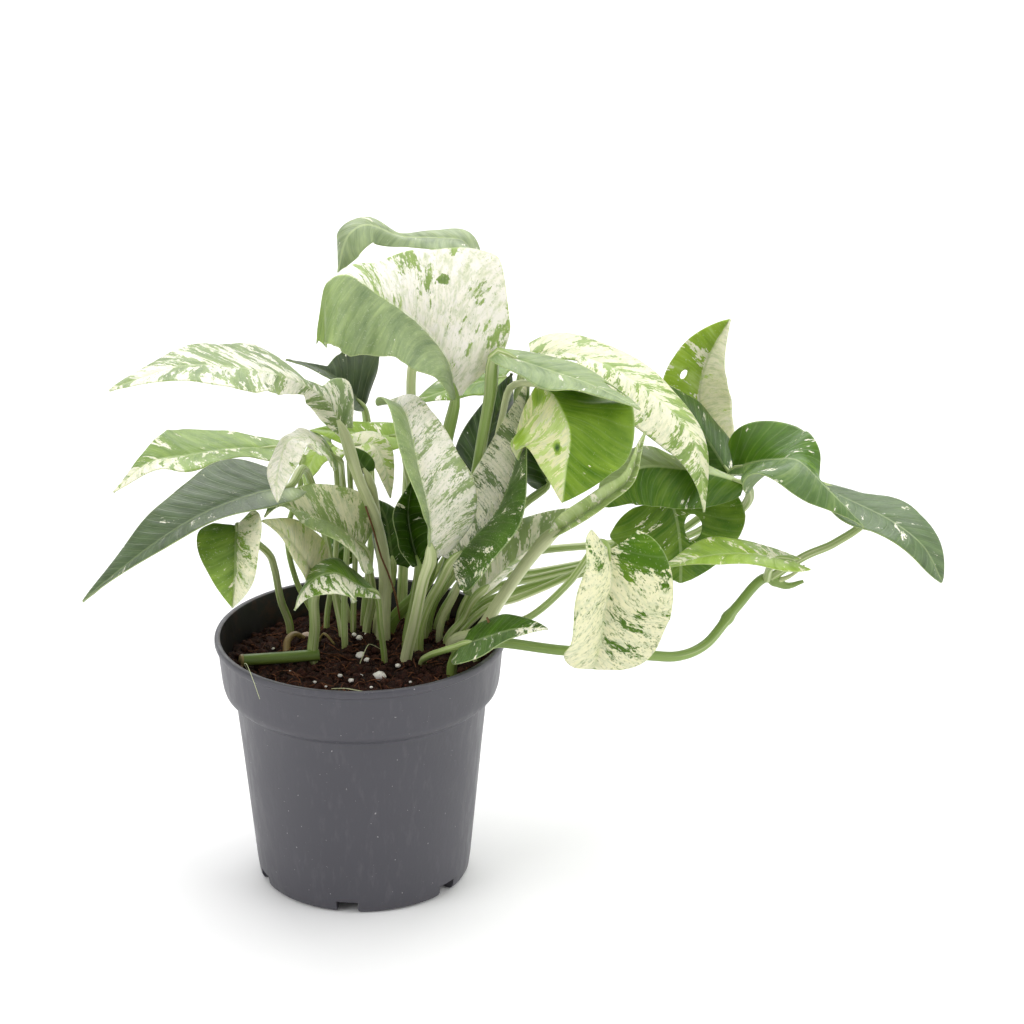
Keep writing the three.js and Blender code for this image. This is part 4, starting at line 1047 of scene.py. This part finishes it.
def disc(radius, rings, turns, height, sides=()):
    # points and faces of a round grid, the middle first, which goes on down its sides
    points = [(0.0, 0.0, height(0.0, 0.0, 0))]
    for i in range(1, rings + 1):
        points += [(x, y, height(x, y, i)) for x, y in circle(radius * i / rings, turns)]
    for sideRadius, z in sides:
        points += [(x, y, z) for x, y in circle(sideRadius, turns)]
    at = lambda ring, k: 1 + (ring - 1) * turns + k % turns
    faces = [(0, at(1, k), at(1, k + 1)) for k in range(turns)]
    faces += [(at(i, k), at(i + 1, k), at(i + 1, k + 1), at(i, k + 1))
              for i in range(1, rings + len(sides)) for k in range(turns)]
    return points, faces


def soilBed():
    rings, turns, sides = soilShape["rings"], soilShape["segments"], soilShape["sides"]
    points, faces = disc(soilShape["topRadius"], rings, turns, bedHeight, sides)
    lastRing = len(points) - turns
    points.append((0.0, 0.0, sides[-1][1]))
    faces += [(len(points) - 1, lastRing + (k + 1) % turns, lastRing + k) for k in range(turns)]
    mesh = newMesh("peatBed", points, [], faces)
    mesh.materials.append(peatMaterial("peat"))
    return mesh


settle(meshPiece("peatBed", soilBed()), "peat", "soil")

# Crumbs and fibres lie on the bed; both are scattered by the same kind of tree. Density is for each square
# metre. A crumb's size is its radius, and a fibre's is a share of fibreLine. lean is how far a piece tips
# over, in radians, and wobble how far it is pushed out of shape, in metres.
crumbInputs = {"Density": 420000.0, "Smallest": 0.28 * mm, "Largest": 1.25 * mm, "Seed": 4}
fibreInputs = {"Density": 42000.0, "Smallest": 0.5, "Largest": 1.9, "Seed": 11}
crumbShape = dict(reach=38.2, lean=3.14, noiseScale=700.0, wobble=0.0016)
fibreShape = dict(reach=34.5, lean=0.45, noiseScale=170.0, wobble=0.006)
fibreLine = dict(start=(-3.2, 0, 0.2), end=(3.2, 0, 0.4), points=9, sides=5, radius=0.16)
ground = dict(rings=14, turns=60, above=0.1)


def groundHeight(x, y, ring):
    return soilTop(x, y) + ground["above"] * min(ring, 1)


def strewn(name, values, shape, material, fibres):
    tree, inputs = newGrowth(name + "Growth", values)
    seed, lean = inputs["Seed"], shape["lean"]
    spots = geo(tree, "DistributePointsOnFaces", {
        "Mesh": inputs["Geometry"], "Density": inputs["Density"], "Seed": seed})
    chance = Wire(grow(tree, "FunctionNodeRandomValue", {"Seed": seed}, data_type="FLOAT")[1])
    size = chance.maths("POWER", 2.6) * (Wire(inputs["Largest"]) - inputs["Smallest"]) + inputs["Smallest"]
    spin = grow(tree, "FunctionNodeRandomValue", {
        0: (-lean, -lean, -3.14), 1: (lean, lean, 3.14), "Seed": Wire(seed) + 7}, data_type="FLOAT_VECTOR")[0]
    if fibres:
        start, end = ([part * mm for part in fibreLine[name]] for name in ("start", "end"))
        line = geo(tree, "CurvePrimitiveLine", {"Start": start, "End": end})
        thing = geo(tree, "ResampleCurve", {"Curve": line, "Count": fibreLine["points"]})
    else:
        thing = geo(tree, "MeshIcoSphere", {"Radius": 1.0, "Subdivisions": 2})
    things = geo(tree, "InstanceOnPoints", {
        "Points": spots, "Instance": thing, "Rotation": spin, "Scale": combine(tree, size, size, size)})
    real = geo(tree, "RealizeInstances", {"Geometry": things})
    wobble = grow(tree, "ShaderNodeTexNoise", {
        "Vector": geo(tree, "InputPosition"), "Scale": shape["noiseScale"], "Detail": 2.0})["Color"]
    offset = grow(tree, "ShaderNodeVectorMath", {0: wobble, 1: (0.5, 0.5, 0.5)}, operation="SUBTRACT")[0]
    shift = grow(tree, "ShaderNodeVectorMath", {0: offset, "Scale": shape["wobble"]}, operation="SCALE")[0]
    last = geo(tree, "SetPosition", {"Geometry": real, "Offset": shift})
    if fibres:
        ring = geo(tree, "CurvePrimitiveCircle", {
            "Resolution": fibreLine["sides"], "Radius": fibreLine["radius"] * mm})
        last = geo(tree, "CurveToMesh", {"Curve": last, "Profile Curve": ring, "Fill Caps": True})
    endGrowth(tree, last, peatMaterial(material))
    # the scatter's ground is a disc that lies just over the bed
    points, faces = disc(shape["reach"], ground["rings"], ground["turns"], groundHeight)
    made = grownMesh(newMesh("ground", points, [], faces), tree, values)
    settle(meshPiece("peat" + name, made), "peat")


strewn("Crumbs", crumbInputs, crumbShape, "peatCrumb", False)
strewn("Fibres", fibreInputs, fibreShape, "peatFibre", True)
say("soil")


# stones and perlite in the soil: place and radius of each lump
stones = dict(
    pebble=dict(nodes=["pebble"], slot="pebble", lumps=[(-16, 15, 67.2, 2.1)]),
    perliteFront=dict(nodes=["perlite_front"], slot="perlite", lumps=[(6, -15, 68.2, 1.7)]),
    perliteMid=dict(nodes=["perlite_mid"], slot="perlite", lumps=[(0, 0, 68.1, 1.3)]),
    perliteCrumbs=dict(nodes=[], slot="perlite", lumps=[
        (2, -4, 68.4, 0.8), (11, -8, 68.4, 0.7), (-2, -19, 68.6, 0.7), (0.6, -15, 68.4, 0.5),
        (-5.4, -15, 68.4, 0.6), (-12.4, -20, 68.6, 0.45), (-1, 13, 68, 0.9), (-2.6, 14, 68.6, 0.6),
        (1, 15, 68.2, 0.7), (-9, -24, 69, 0.35), (4, -25, 69.2, 0.4), (15, -20, 68.6, 0.4),
        (-20, -12, 68.4, 0.35), (-26, 6, 67.6, 0.4)]),
)
pitColour = "#6d5547"
stoneShape = dict(long=1.12, flat=0.82, rough=0.28, fine=0.1)


def stoneMaterial(name, pale, dark):
    material, tree, shader = newMaterial(name)
    place = objectPlace(tree)
    skin = blend(noise(place, 380.0, 4, 0.6), pale, dark)
    skin = blend(fade(noise(place, 1400.0, 2), 0.62, 0.7) * 0.5, skin, pitColour)
    plug(shader, {"Base Color": skin, "Roughness": 0.75})
    giveRelief(shader, noise(place, 1100.0, 3), 0.5, 0.0005)
    return material


stoneMaterials = dict(pebble=stoneMaterial("pebbleStone", "#dccbbe", "#b8998a"),
                      perlite=stoneMaterial("perliteCrumb", "#f1eee8", "#cfc8bf"))


def lumpMesh(name, lumps):
    points, faces = [], []
    for x, y, z, radius in lumps:
        ball = bmesh.new()
        bmesh.ops.create_icosphere(ball, subdivisions=3, radius=1)
        start = len(points)
        for v in ball.verts:
            d = v.co.normalized()
            rough, fine = noiseAt(d * 1.6 + Vector((x, y, z))), noiseAt(d * 4 + Vector((y, z, x)))
            grown = radius * (1 + stoneShape["rough"] * rough + stoneShape["fine"] * fine)
            points.append((x + d.x * grown * stoneShape["long"], y + d.y * grown,
                           z + d.z * grown * stoneShape["flat"]))
        faces += [[start + v.index for v in f.verts] for f in ball.faces]
        ball.free()
    return newMesh(name, points, [], faces)


for name, stone in stones.items():
    mesh = lumpMesh(name, stone["lumps"])
    mesh.materials.append(stoneMaterials[stone["slot"]])
    settle(meshPiece(name, mesh), stone["slot"], *stone["nodes"])
say("stones")


# the floor, just below the pot's foot
floorShape = dict(left=-3000, right=3000, front=-2500, back=4000, top=-0.3)
floorCorners = [(floorShape[x], floorShape[y], floorShape["top"]) for x, y in (
    ("left", "front"), ("right", "front"), ("right", "back"), ("left", "back"))]
floor = addObject("floor", newMesh("floor", floorCorners, [], [(0, 1, 2, 3)]))
floorMaterial, _, floorShader = newMaterial("paleFloor")
plug(floorShader, {"Base Color": (0.93, 0.93, 0.93, 1), "Roughness": 0.8})
floor.data.materials.append(floorMaterial)
floor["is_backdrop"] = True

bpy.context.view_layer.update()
meshes = [piece.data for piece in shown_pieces()]
total = sum(len(m.loop_triangles) or sum(len(f.vertices) - 2 for f in m.polygons) for m in meshes)
print("scene: triangles", total)
